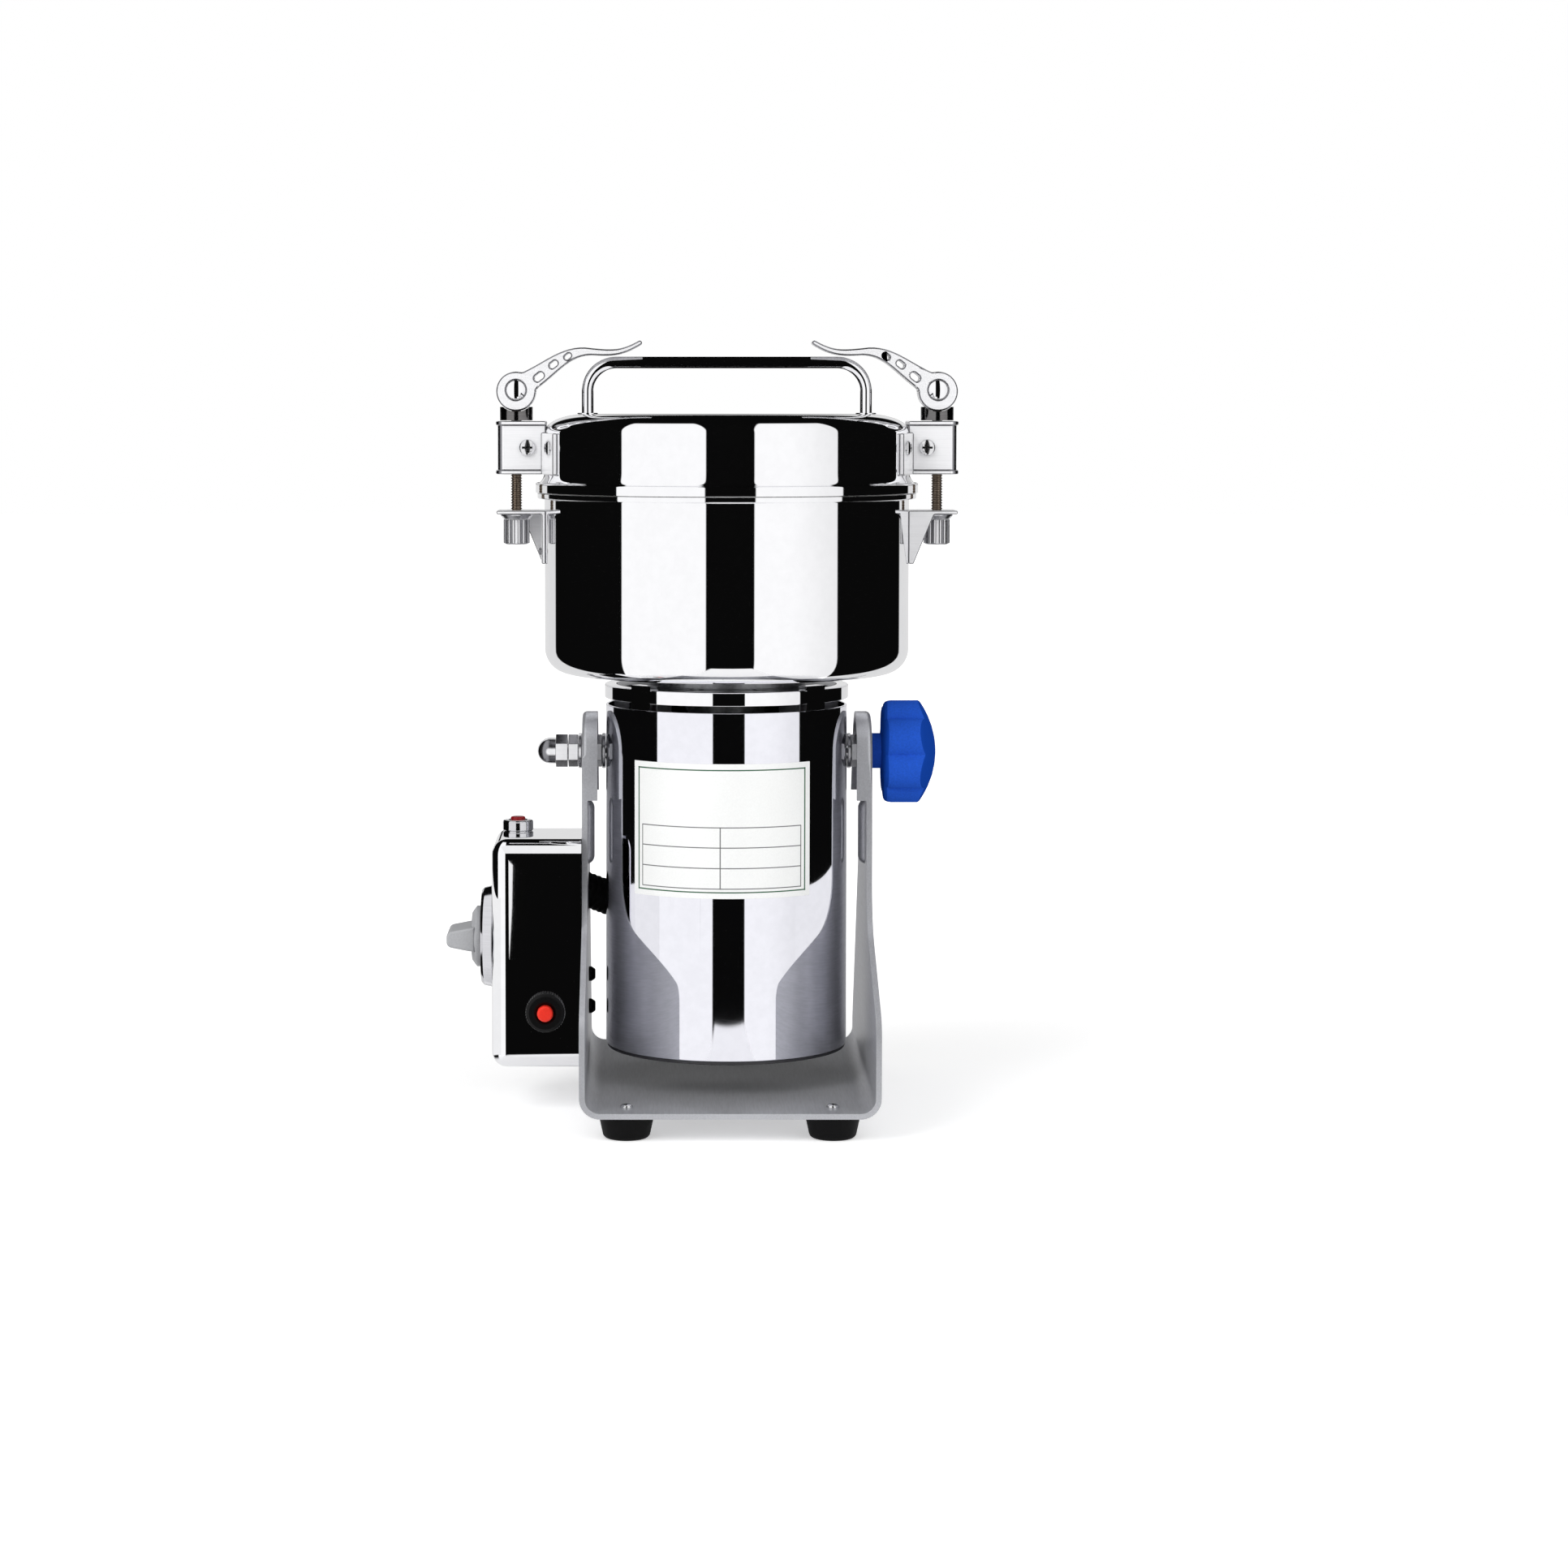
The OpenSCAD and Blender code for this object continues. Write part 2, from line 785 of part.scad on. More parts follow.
module timer_knob() {
    color(light_grey) translate([-timer_knob_x0, 0, timer_z]) rotate([0, -90, 0]) difference() {
        union() {
            cylinder(h = flange_side, r = knob_flange_r);
            translate([0, 0, flange_side]) cylinder(h = flange_t - flange_side,
                r1 = knob_flange_r, r2 = knob_flange_r - flange_slope);
            rotate([90, 0, 0]) linear_extrude(2 * (knob_flange_r - grip_inset), center = true) polygon([
                [-grip_base_h / 2, 0], [grip_base_h / 2, 0],
                [grip_base_h / 2, flange_t], [grip_tip_h / 2, flange_t + grip_l],
                [-grip_tip_h / 2, flange_t + grip_l], [-grip_base_h / 2, flange_t]]);
        }
        translate([0, 0, -lap]) cylinder(h = flange_t + spindle_up + lap, r = spindle_r + seat);
    }
}

module button_collar() {
    color(mirror_steel) translate([-button_x, button_y, box_z1]) difference() {
        union() {
            cylinder(h = collar_l - collar_edge, r = collar_r);
            translate([0, 0, collar_l - collar_edge])
                cylinder(h = collar_edge, r1 = collar_r, r2 = collar_r - collar_edge);
            translate([0, 0, -box_wall]) cylinder(h = box_wall + lap, r = collar_neck_r);
        }
        translate([0, 0, -box_wall - lap])
            cylinder(h = collar_l + box_wall + 2 * lap, r = button_r + run_fit);
    }
}

module power_switch() {
    color(black) translate([-button_x, button_y, box_z1 - box_wall - switch_l]) difference() {
        union() {
            translate([-switch_w / 2, -switch_w / 2, 0])
                cube([switch_w, switch_w, switch_l - box_edge_r]);
            cylinder(h = switch_l, r = switch_neck_r);
        }
        translate([0, 0, switch_l - button_well])
            cylinder(h = button_well + lap, r = button_r + run_fit);
    }
}

// Round push button with a bevelled end, standing on its inner end.
module push_button(r, length) {
    cylinder(h = length, r = r);
    translate([0, 0, length]) cylinder(h = button_edge, r1 = r, r2 = r - button_edge);
}

module power_button() {
    color(red) translate([-button_x, button_y, box_z1 - box_wall - button_in])
        push_button(button_r, button_in + box_wall + collar_l + button_out);
}

module reset_collar() {
    color(black) translate([-reset_x, -box_d / 2, reset_z]) rotate([90, 0, 0]) difference() {
        union() {
            cylinder(h = ring_l - ring_edge, r = ring_r);
            translate([0, 0, ring_l - ring_edge])
                cylinder(h = ring_edge, r1 = ring_r, r2 = ring_r - ring_edge);
            translate([0, 0, -box_wall]) cylinder(h = box_wall + lap, r = ring_neck_r);
        }
        translate([0, 0, -box_wall - lap])
            cylinder(h = ring_l + box_wall + 2 * lap, r = reset_r + run_fit);
    }
}

module overload_breaker() {
    color(black) translate([-reset_x, -box_d / 2 + box_wall, reset_z]) difference() {
        translate([-breaker_w / 2, 0, -breaker_w / 2]) cube([breaker_w, breaker_l, breaker_w]);
        translate([0, -lap, 0]) along_y()
            cylinder(h = button_well + lap, r = reset_r + run_fit);
    }
}

module reset_button() {
    color(red) translate([-reset_x, -box_d / 2 + box_wall + button_in, reset_z])
        rotate([90, 0, 0]) push_button(reset_r, button_in + box_wall + ring_l + reset_out);
}

module cord_gland() {
    thread_l = box_wall + gland_inside;
    color(black) translate([-gland_x, box_d / 2, gland_z]) along_y() difference() {
        union() {
            translate([0, 0, -thread_l]) cylinder(h = thread_l + lap, r = gland_thread_r);
            cylinder(h = gland_hex_t, r = gland_r, $fn = 6);
            translate([0, 0, gland_hex_t])
                cylinder(h = gland_l - gland_hex_t, r1 = 0.85 * gland_r, r2 = 0.6 * gland_r);
        }
        translate([0, 0, -thread_l - lap])
            cylinder(h = thread_l + gland_l + 2 * lap, r = gland_bore_r);
    }
}

module motor_housing() {
    color(mirror_steel) difference() {
        translate([0, 0, housing_z0]) ring(housing_r, housing_in_r, housing_h);
        translate([0, 0, pivot_z]) along_x()
            cylinder(h = 3 * housing_r, r = stud_r + run_fit, center = true);
        lead_hole();
    }
}

module bottom_cover() {
    low = housing_z0 - cover_t;
    color(dark_iron) difference() {
        union() {
            translate([0, 0, low]) cylinder(h = cover_t, r = housing_r - cover_step);
            translate([0, 0, housing_z0 - lap])
                ring(fit_r, fit_r - cover_spigot_t, cover_spigot + lap);
        }
        around(vents, 180 / vents) translate([vent_ring - vent_l / 2, -vent_w / 2, low - lap])
            cube([vent_l, vent_w, cover_t + 2 * lap]);
        around(posts, 90) translate([post_ring, 0, low - lap])
            cylinder(h = cover_t + 2 * lap, r = foot_screw_r + seat);
    }
}

module cover_screws() {
    color(steel) around(posts, 90) translate([post_ring, 0, housing_z0 - cover_t])
        mirror([0, 0, 1]) pan_screw(pan_r, pan_h, foot_screw_r, cover_t + cover_screw_l);
}

module lower_end_shield() {
    shield_z1 = shield_z0 + shield_t;
    color(alloy) difference() {
        union() {
            translate([0, 0, shield_z0]) cylinder(h = shield_t, r = bearing_r + hub_wall);
            translate([0, 0, shield_z1 - shield_plate_t])
                cylinder(h = shield_plate_t, r = brush_reach + brush_back);
            intersection() {
                around(posts, 90) translate([0, -shield_arm_w / 2, shield_z1 - shield_arm_t])
                    cube([fit_r + lap, shield_arm_w, shield_arm_t]);
                translate([0, 0, shield_z0]) cylinder(h = shield_t, r = fit_r);
            }
            around(posts, 90) translate([post_ring, 0, housing_z0])
                cylinder(h = shield_z1 - housing_z0, r = post_r);
        }
        translate([0, 0, lower_bearing_z]) cylinder(h = bearing_h, r = bearing_r + seat);
        translate([0, 0, shield_z0 - lap]) cylinder(h = shield_t + 2 * lap, r = shaft_r + shaft_clear);
        translate([0, 0, lower_bearing_z + bearing_h - lap])
            cylinder(h = shield_t, r = bearing_r - bearing_lip);
        around(posts, 90) translate([post_ring, 0, housing_z0 - lap])
            cylinder(h = cover_screw_l + end_gap + lap, r = foot_screw_r + seat);
    }
}

module upper_end_shield() {
    web_t = collar_z1 - collar_z0;
    hub_z0 = upper_bearing_z - hub_under;
    color(alloy) difference() {
        union() {
            translate([0, 0, collar_z0]) cylinder(h = web_t, r = casting_r);
            translate([0, 0, hub_z0]) cylinder(h = collar_z0 - hub_z0 + lap, r = bearing_r + hub_wall);
            translate([0, 0, collar_z0]) cylinder(h = bowl_z0 - collar_z0, r = neck_out_r);
            intersection() {
                around(casting_legs, 180 / casting_legs)
                    translate([leg_in, -pad_w / 2, collar_z0 - leg_l])
                    cube([casting_r - leg_in + housing_wall, pad_w, leg_l + lap]);
                union() {
                    translate([0, 0, collar_z0 - leg_l]) cylinder(h = leg_l - gap, r = fit_r);
                    translate([0, 0, collar_z0 - leg_l]) cylinder(h = leg_l + lap, r = casting_r);
                }
            }
        }
        translate([0, 0, hub_z0 - lap])
            cylinder(h = bearing_h + hub_under + lap, r = bearing_r + seat);
        translate([0, 0, hub_z0]) cylinder(h = far, r = shaft_r + shaft_clear);
        translate([0, 0, collar_z1]) cylinder(h = far, r = neck_in_r);
        around(casting_holes, 180 / casting_holes)
            translate([casting_hole_ring, 0, collar_z0 - lap])
            cylinder(h = web_t + 2 * lap, r = casting_hole_r);
        around(bowl_screws_count) translate([bowl_screw_ring, 0, bowl_z0 - bowl_screw_l])
            cylinder(h = far, r = bowl_screw_r + seat);
    }
}

module collar_tabs(low, high, inner) {
    intersection() {
        translate([0, 0, low]) ring(collar_r_out, inner, high - low);
        around(casting_legs, 180 / casting_legs) translate([0, -collar_tab_w / 2, low])
            cube([far, collar_tab_w, high - low]);
    }
}

module motor_collar() {
    color(mirror_steel) {
        translate([0, 0, collar_z0]) ring(collar_r_out, collar_r_in, collar_h - collar_bevel);
        translate([0, 0, collar_z1 - collar_bevel]) difference() {
            cylinder(h = collar_bevel, r1 = collar_r_out, r2 = collar_r_out - collar_bevel);
            translate([0, 0, -lap]) cylinder(h = collar_bevel + 2 * lap, r = collar_r_in);
        }
        collar_tabs(housing_z1, collar_z0 + lap, housing_in_r - skin);
        collar_tabs(collar_z1 - collar_bevel - lap, collar_z1 + collar_tab_rise, collar_r_in);
    }
}

// Wedge of 2D plane about the +Y axis.
module wedge(half_angle, r) {
    polygon([[0, 0], r * [sin(half_angle), cos(half_angle)],
        [r * sin(half_angle), 2 * r], [-r * sin(half_angle), 2 * r],
        r * [-sin(half_angle), cos(half_angle)]]);
}

module stator_core() {
    color(dark_iron) translate([0, 0, stator_z0]) linear_extrude(stator_h) {
        difference() {
            circle(yoke_out_r);
            circle(yoke_in_r);
        }
        intersection() {
            difference() {
                circle(yoke_in_r + lap);
                circle(stator_bore_r);
            }
            for (a = [0, 180]) rotate(a) wedge(pole_half_angle, 2 * yoke_in_r);
        }
        intersection() {
            difference() {
                circle(fit_r);
                circle(yoke_out_r - lap);
            }
            for (a = [45, 135]) rotate(a) square([far, pad_w], center = true);
        }
    }
}

module coil_end(z) {
    translate([-coil_out_x, coil_end_y, z])
        cube([2 * coil_out_x, coil_out_y - coil_end_y, coil_turn]);
    both_sides() translate([coil_in_x, coil_low_y, z])
        cube([coil_out_x - coil_in_x, coil_out_y - coil_low_y, coil_turn]);
}

module field_coils() {
    low = stator_z0 - coil_rise - coil_turn;
    high = stator_z1 + coil_rise;
    color(copper) for (a = [0, 180]) rotate([0, 0, a]) {
        coil_end(low);
        coil_end(high);
        both_sides() translate([coil_in_x, coil_low_y, low])
            cube([coil_out_x - coil_in_x, coil_slot_y - coil_low_y, high + coil_turn - low]);
    }
}

module motor_bearings() {
    color(steel) for (z = [lower_bearing_z, upper_bearing_z])
        translate([0, 0, z]) ring(bearing_r, shaft_r + run_fit, bearing_h);
}

module brush_holders() {
    outer_w = brush_w + 2 * brush_wall;
    outer_h = brush_h + 2 * brush_wall;
    low = shield_z0 + shield_t;
    start = commutator_r + brush_back;
    color(brass) for (a = [0, 180]) rotate([0, 0, a]) difference() {
        translate([-outer_w / 2, start, low])
            cube([outer_w, brush_reach - start, outer_h + brush_block_h]);
        translate([-brush_w / 2 - seat, start - lap, low + brush_block_h + brush_wall - seat])
            cube([brush_w + 2 * seat, brush_reach - start - brush_back, brush_h + 2 * seat]);
    }
}

module carbon_brushes() {
    start = commutator_r + gap;
    color(dark_iron) for (a = [0, 180]) rotate([0, 0, a])
        translate([-brush_w / 2, start, shield_z0 + shield_t + brush_block_h + brush_wall])
            cube([brush_w, brush_reach - start - brush_spring_l, brush_h]);
}

module pivot_stud() {
    color(steel) translate([-cap_nut_x - cap_hex_t, 0, pivot_z])
        along_x() cylinder(h = cap_nut_x + cap_hex_t - housing_in_r + stud_in, r = stud_r);
}

module hex_nuts() {
    color(steel) translate([0, 0, pivot_z]) {
        for (x = [inner_washer_x, outer_washer_x]) translate([-x - washer_t, 0, 0])
            along_x() ring(washer_r, stud_r + seat, washer_t);
        for (x = [inner_nut_x, jam_nut_x]) translate([-x - nut_t, 0, 0])
            along_x() hex_nut(nut_flat, nut_t, stud_r + seat);
        translate([inner_washer_x, 0, 0]) along_x() ring(washer_r, stud_r + run_fit, washer_t);
        translate([inner_nut_x, 0, 0]) along_x() hex_nut(nut_flat, nut_t, stud_r + run_fit);
        translate([-lock_nut_x - nut_t, 0, 0]) along_x() hex_nut(nut_flat, nut_t, stud_r + seat);
    }
}

module cap_nut() {
    color(mirror_steel) translate([-cap_nut_x, 0, pivot_z]) rotate([0, -90, 0]) difference() {
        union() {
            cylinder(h = cap_hex_t, r = nut_flat / sqrt(3), $fn = 6);
            cylinder(h = cap_hex_t + cap_dome_l, r = cap_dome_r);
            translate([0, 0, cap_hex_t + cap_dome_l]) sphere(cap_dome_r);
        }
        translate([0, 0, -lap]) cylinder(h = cap_hex_t + end_gap + lap, r = stud_r + seat);
    }
}

module bowl_shape(r, low_z, corner, high_z) {
    translate([0, low_z]) square([r - corner, high_z - low_z]);
    translate([0, low_z + corner]) square([r, high_z - low_z - corner]);
    intersection() {
        translate([r - corner, low_z + corner]) circle(corner);
        translate([0, low_z]) square([r, high_z - low_z]);
    }
}

module grinding_bowl() {
    inner_r = bowl_r - bowl_wall;
    floor_z = bowl_z0 + bowl_wall;
    color(mirror_steel) difference() {
        rotate_extrude() {
            difference() {
                bowl_shape(bowl_r, bowl_z0, bowl_corner_r, bowl_z1);
                bowl_shape(inner_r, floor_z, bowl_corner_r - bowl_wall, bowl_z1 + lap);
            }
            translate([inner_r, bowl_z1 - rim_t_bowl])
                square([bowl_wall + rim_out - rim_step, rim_t_bowl]);
        }
        translate([0, 0, bowl_z0 - lap]) cylinder(h = bowl_wall + 2 * lap, r = seal_r + seat);
        around(bowl_screws_count) translate([bowl_screw_ring, 0, bowl_z0 - lap])
            cylinder(h = bowl_wall + 2 * lap, r = bowl_screw_r + seat);
    }
}

module bowl_screws() {
    color(steel) around(bowl_screws_count) translate([bowl_screw_ring, 0, bowl_z0 + bowl_wall])
        pan_screw(bowl_screw_head_r, pan_h, bowl_screw_r, bowl_wall + bowl_screw_l - end_gap);
}

module shaft_seal() {
    body_l = seal_drop + bowl_wall;
    color(rubber) translate([0, 0, bowl_z0 - seal_drop]) {
        ring(seal_r, shaft_r + gap, body_l);
        translate([0, 0, body_l]) ring(seal_flange_r, shaft_r + gap, seal_flange_t);
    }
}

// Piece of a tube against the bowl or lid wall, on the +X side.
module wall_patch(w, low_z, high_z, t) {
    intersection() {
        translate([0, 0, low_z]) ring(bowl_r + seat + t, bowl_r - bowl_wall, high_z - low_z);
        translate([0, -w / 2, low_z]) cube([far, w, high_z - low_z]);
    }
}

module clamp_shelves() {
    low = shelf_z1 - shelf_drop;
    start = bowl_r - shelf_root;
    gusset_x = clamp_x - shelf_root;
    color(steel) around(2) difference() {
        union() {
            wall_patch(shelf_w, low, shelf_z1, shelf_t);
            translate([start, -shelf_w / 2, shelf_z1 - shelf_t])
                cube([shelf_x1 - start, shelf_w, shelf_t]);
            translate([0, (gusset_t - shelf_w) / 2, 0]) rotate([90, 0, 0])
                linear_extrude(gusset_t, center = true) polygon([
                    [start, low], [bowl_r + shelf_t, low],
                    [gusset_x, shelf_z1 - shelf_t], [gusset_x, shelf_z1],
                    [start, shelf_z1]]);
            for (s = [-1, 1]) rotate([0, 0, s * rivet_turn])
                translate([bowl_r + shelf_t - lap, 0, low + rivet_rise]) along_x()
                cylinder(h = rivet_h + lap, r1 = rivet_r, r2 = 0.6 * rivet_r);
        }
        translate([0, 0, low - lap]) cylinder(h = shelf_drop + 2 * lap, r = bowl_r + seat);
        translate([clamp_x, 0, shelf_z1 - shelf_t - lap])
            cylinder(h = shelf_t + 2 * lap, r = rod_r + gap);
    }
}

module thumb_nuts() {
    low = shelf_z1 - shelf_t - skin - thumb_flare_h - thumb_h;
    color(mirror_steel) both_sides() translate([clamp_x, 0, 0]) difference() {
        union() {
            translate([0, 0, low]) cylinder(h = thumb_h, r = thumb_r);
            translate([0, 0, low + thumb_h])
                cylinder(h = thumb_flare_h, r1 = thumb_r, r2 = thumb_flare_r);
        }
        around(thumb_flutes) translate([thumb_r + gap, 0, low - lap])
            cylinder(h = thumb_h - end_gap, r = flute_r);
        translate([0, 0, low + thumb_floor]) cylinder(h = far, r = rod_r + run_fit);
    }
}

module motor_lead() {
    color(rubber) lead_axis() translate([0, 0, -lead_back])
        cylinder(h = lead_len + lead_back, r = lead_r);
}

module motor_shaft() {
    color(steel) {
        translate([0, 0, shield_z0]) cylinder(h = shaft_top - shield_z0, r = shaft_r);
        translate([0, 0, blade_z - shoulder_l]) cylinder(h = shoulder_l, r = shoulder_r);
    }
}

module armature_core() {
    color(dark_iron) translate([0, 0, stator_z0]) linear_extrude(stator_h) difference() {
        circle(armature_r);
        circle(shaft_r + seat);
        for (i = [0 : armature_slots - 1]) rotate(360 * i / armature_slots)
            translate([armature_r - slot_depth, -slot_w / 2]) square([2 * slot_depth, slot_w]);
    }
}

module armature_winding() {
    color(copper) for (z = [stator_z0 - winding_l, stator_z1])
        translate([0, 0, z]) ring(winding_r, shaft_r + winding_sleeve, winding_l);
}

module commutator() {
    color(brass) translate([0, 0, commutator_z]) linear_extrude(commutator_h) difference() {
        circle(commutator_r);
        circle(shaft_r + seat);
        for (i = [0 : commutator_bars - 1]) rotate(360 * i / commutator_bars)
            translate([commutator_r - bar_depth, -bar_groove / 2]) square([2 * bar_depth, bar_groove]);
    }
}

module cooling_fan() {
    color(black) translate([0, 0, fan_z0]) {
        ring(fan_hub_r, shaft_r + seat, fan_blade_h);
        ring(fan_r, shaft_r + seat, fan_plate_t);
        around(fan_blades) translate([fan_hub_r - lap, -fan_blade_t / 2, 0])
            cube([fan_r - fan_hub_r - end_gap, fan_blade_t, fan_blade_h]);
    }
}

// Two armed blade lying along X, with narrowed tips.
module blade_bar(reach) {
    root = 0.3 * reach;
    half = blade_w / 2;
    linear_extrude(blade_t) difference() {
        polygon([[-reach, -blade_tip_w / 2], [-root, -half], [root, -half],
            [reach, blade_tip_w / 4], [reach, blade_tip_w / 2], [root, half], [-root, half],
            [-reach, -blade_tip_w / 4]]);
        circle(shaft_r + seat);
    }
}

module main_blade() {
    color(steel) translate([0, 0, blade_z]) blade_bar(blade_reach);
}

module upper_blade() {
    color(steel) {
        translate([0, 0, second_blade_z]) rotate([0, 0, 90]) blade_bar(second_blade_reach);
        translate([0, 0, blade_z + blade_t])
            ring(shoulder_r, shaft_r + seat, second_blade_z - blade_z - blade_t + lap);
    }
}

module blade_nut() {
    color(mirror_steel) translate([0, 0, second_blade_z + blade_t])
        hex_nut(blade_nut_flat, blade_nut_t, shaft_r + seat);
}

module tilt_knob() {
    color(blue) translate([0, 0, pivot_z]) difference() {
        union() {
            translate([hub_x0, 0, 0]) along_x() cylinder(h = hub_l + end_gap, r = hub_r);
            intersection() {
                translate([star_x0, 0, 0]) along_x() linear_extrude(star_l) {
                    circle(star_core_r);
                    for (i = [0 : lobes - 1]) rotate(90 + 360 * i / lobes)
                        translate([lobe_ring, 0]) circle(lobe_r);
                }
                translate([star_x0 + star_l - star_ball_r, 0, 0]) sphere(star_ball_r);
            }
        }
        translate([hub_x0 - lap, 0, 0])
            along_x() cylinder(h = hub_l + knob_bore + lap, r = stud_r + seat);
    }
}

module tilt_bolt() {
    start = housing_in_r - stud_in;
    color(steel) translate([start, 0, pivot_z]) along_x()
        cylinder(h = star_x0 + knob_bore - end_gap - start, r = stud_r);
}

module lid_shape(r, low_z, high_z, w, h) {
    polygon(concat([[0, low_z], [r, low_z]],
        shoulder_arc(r, high_z - h, w, h), [[0, high_z]]));
}

module lid() {
    spigot_r = bowl_r - bowl_wall - spigot_gap;
    color(mirror_steel) difference() {
        rotate_extrude() {
            difference() {
                lid_shape(bowl_r, lid_z0, lid_z1, shoulder_w, shoulder_h);
                lid_shape(bowl_r - bowl_wall, lid_z0 - lap, lid_z1 - bowl_wall,
                    shoulder_w - bowl_wall, shoulder_h - bowl_wall);
            }
            translate([spigot_r - bowl_wall, lid_z0])
                square([bowl_r + rim_out - spigot_r + bowl_wall, rim_t_lid]);
            translate([spigot_r - bowl_wall, lid_z0 - spigot_l]) square([bowl_wall, spigot_l + lap]);
            translate([bowl_r, lid_z0 + rim_t_lid])
                polygon([[-lap, -lap], [rim_flare, -lap], [rim_flare, 0], [0, rim_flare], [-lap, rim_flare]]);
        }
        both_sides() translate([handle_x, 0, lid_z1 - 2 * bowl_wall])
            cylinder(h = far, r = handle_rod_r + seat);
        both_sides() at_flange_screws() flange_screw_hole();
    }
}

module lid_gasket() {
    color(silicone) translate([0, 0, bowl_z1 + skin])
        ring(bowl_r + rim_out - 1.5 * rim_step, bowl_r - bowl_wall - 4 * skin, gasket_t - skin);
}

module lid_handle() {
    top = lid_z1 + handle_h - handle_rod_r;
    color(mirror_steel) {
        translate([0, 0, top]) along_x()
            cylinder(h = 2 * (handle_x - handle_bend_r), r = handle_rod_r, center = true);
        both_sides() {
            translate([handle_x - handle_bend_r, 0, top - handle_bend_r]) rotate([90, 0, 0])
                rotate_extrude(angle = 90) translate([handle_bend_r, 0]) circle(handle_rod_r);
            translate([handle_x, 0, lid_z1 - handle_foot_l])
                cylinder(h = top - handle_bend_r - lid_z1 + handle_foot_l, r = handle_rod_r);
            for (z = [lid_z1, lid_z1 - bowl_wall - gap - handle_flange_h]) translate([handle_x, 0, z])
                cylinder(h = handle_flange_h, r = handle_flange_r);
        }
    }
}

// Outline of a bracket seen from above, on the +X side.
module bracket_plan(grow) {
    translate([bracket_x1 + grow - bowl_r / 2, 0])
        rounded_rect(bowl_r, bracket_w + 2 * grow, bracket_corner_r + grow);
}

module lid_brackets() {
    color(mirror_steel) both_sides() difference() {
        union() {
            difference() {
                translate([0, 0, bracket_z0]) linear_extrude(bracket_h) bracket_plan(0);
                translate([0, 0, bracket_z0 + bracket_t])
                    linear_extrude(bracket_h - 2 * bracket_t) bracket_plan(-bracket_t);
            }
            for (z = [bracket_z0, bracket_z1 - bracket_t])
                translate([0, 0, z]) linear_extrude(bracket_t) bracket_plan(lip_out);
            wall_patch(bracket_flange_w, bracket_z0, bracket_z1 - flange_head, bracket_t);
        }
        translate([0, 0, bracket_z0 - lap]) cylinder(h = bracket_h + 2 * lap, r = bowl_r + seat);
        translate([clamp_x, 0, bracket_z0 - lap])
            cylinder(h = bracket_h + 2 * lap, r = rod_r + gap);
        translate([cross_screw_x, 0, bracket_mid_z]) along_y()
            cylinder(h = 2 * bracket_w, r = cross_screw_r + seat, center = true);
        at_flange_screws() flange_screw_hole();
    }
}

// Places on the +X bracket's wall flange, +Z of the children points outward.
module at_flange_screws() {
    for (s = [-1, 1]) rotate([0, 0, s * flange_screw_turn])
        translate([bowl_r + bracket_t + skin, 0, bracket_mid_z]) along_x() children();
}

module flange_screw_hole() {
    translate([0, 0, -2 * flange_screw_l])
        cylinder(h = 2 * flange_screw_l + bracket_t, r = flange_screw_r + seat);
}

module bracket_screws() {
    color(steel) both_sides() {
        translate([cross_screw_x, 0, bracket_mid_z]) {
            translate([0, -bracket_w / 2, 0]) rotate([90, 0, 0])
                pan_screw(pan_r, pan_h, cross_screw_r, bracket_w + cross_nut_l + lap);
            translate([0, bracket_w / 2, 0]) along_y() hex_nut(2 * pan_r, cross_nut_l, cross_screw_r);
        }
        at_flange_screws()
            pan_screw(flange_screw_head_r, flange_screw_head_h, flange_screw_r, flange_screw_l);
    }
}

module clamp_rod() {
    low = shelf_z1 - shelf_t - thumb_flare_h - thumb_h + thumb_floor + end_gap;
    color(steel) translate([clamp_x, 0, low]) cylinder(h = pin_z + pin_r - end_gap - low, r = rod_r);
}

module lever_pin() {
    color(mirror_steel) translate([clamp_x, 0, pin_z]) difference() {
        union() {
            along_y() cylinder(h = lever_w, r = pin_r, center = true);
            for (s = [-1, 1]) rotate([s * -90, 0, 0]) translate([0, 0, lever_w / 2])
                cylinder(h = pin_end, r1 = pin_r, r2 = pin_r - pin_end);
        }
        translate([0, 0, -2 * pin_r]) cylinder(h = 3 * pin_r - end_gap, r = rod_r + seat);
    }
}

module cam_washer() {
    low = bracket_z1 + gap;
    color(mirror_steel) translate([clamp_x, 0, 0]) difference() {
        translate([0, 0, low]) cylinder(h = cam_washer_h, r = cam_washer_r);
        translate([0, 0, pin_z - saddle_drop]) along_y()
            cylinder(h = 4 * cam_washer_r, r = saddle_r, center = true);
        translate([0, 0, low - lap]) cylinder(h = far, r = rod_r + skin);
    }
}

// Lever seen from the front with its pin at the origin, reaching toward +X.
module lever_side() {
    line = lever_line();
    translate([0, -cam_drop]) circle(head_r);
    polygon(concat(beside(line, -1), reversed(beside(line, 1))));
}

module oval(size) {
    for (s = [-1, 1]) translate([s * size / 2, 0]) circle(size * 0.75);
    square([size, size * 1.5], center = true);
}

module clamp_lever() {
    sweep = 3 * head_r;
    open_angle = 270 - lever_turn;
    open_way = [cos(open_angle), sin(open_angle)];
    open_side = slot_half * [open_way[1], -open_way[0]];
    color(mirror_steel) translate([clamp_x, 0, pin_z]) mirror([1, 0, 0]) rotate([90, 0, 0]) difference() {
        linear_extrude(lever_w - 2 * lever_side_gap, center = true) difference() {
            lever_side();
            circle(pin_r + run_fit);
            for (o = lever_ovals) translate([o[0], o[1]]) rotate(oval_angle) oval(o[2]);
        }
        linear_extrude(2 * slot_half, center = true) polygon([
            [slot_half, -sweep], [slot_half, 0], open_side, open_side + sweep * open_way,
            [-sweep, sweep * open_way[1]], [-sweep, -sweep]]);
    }
}

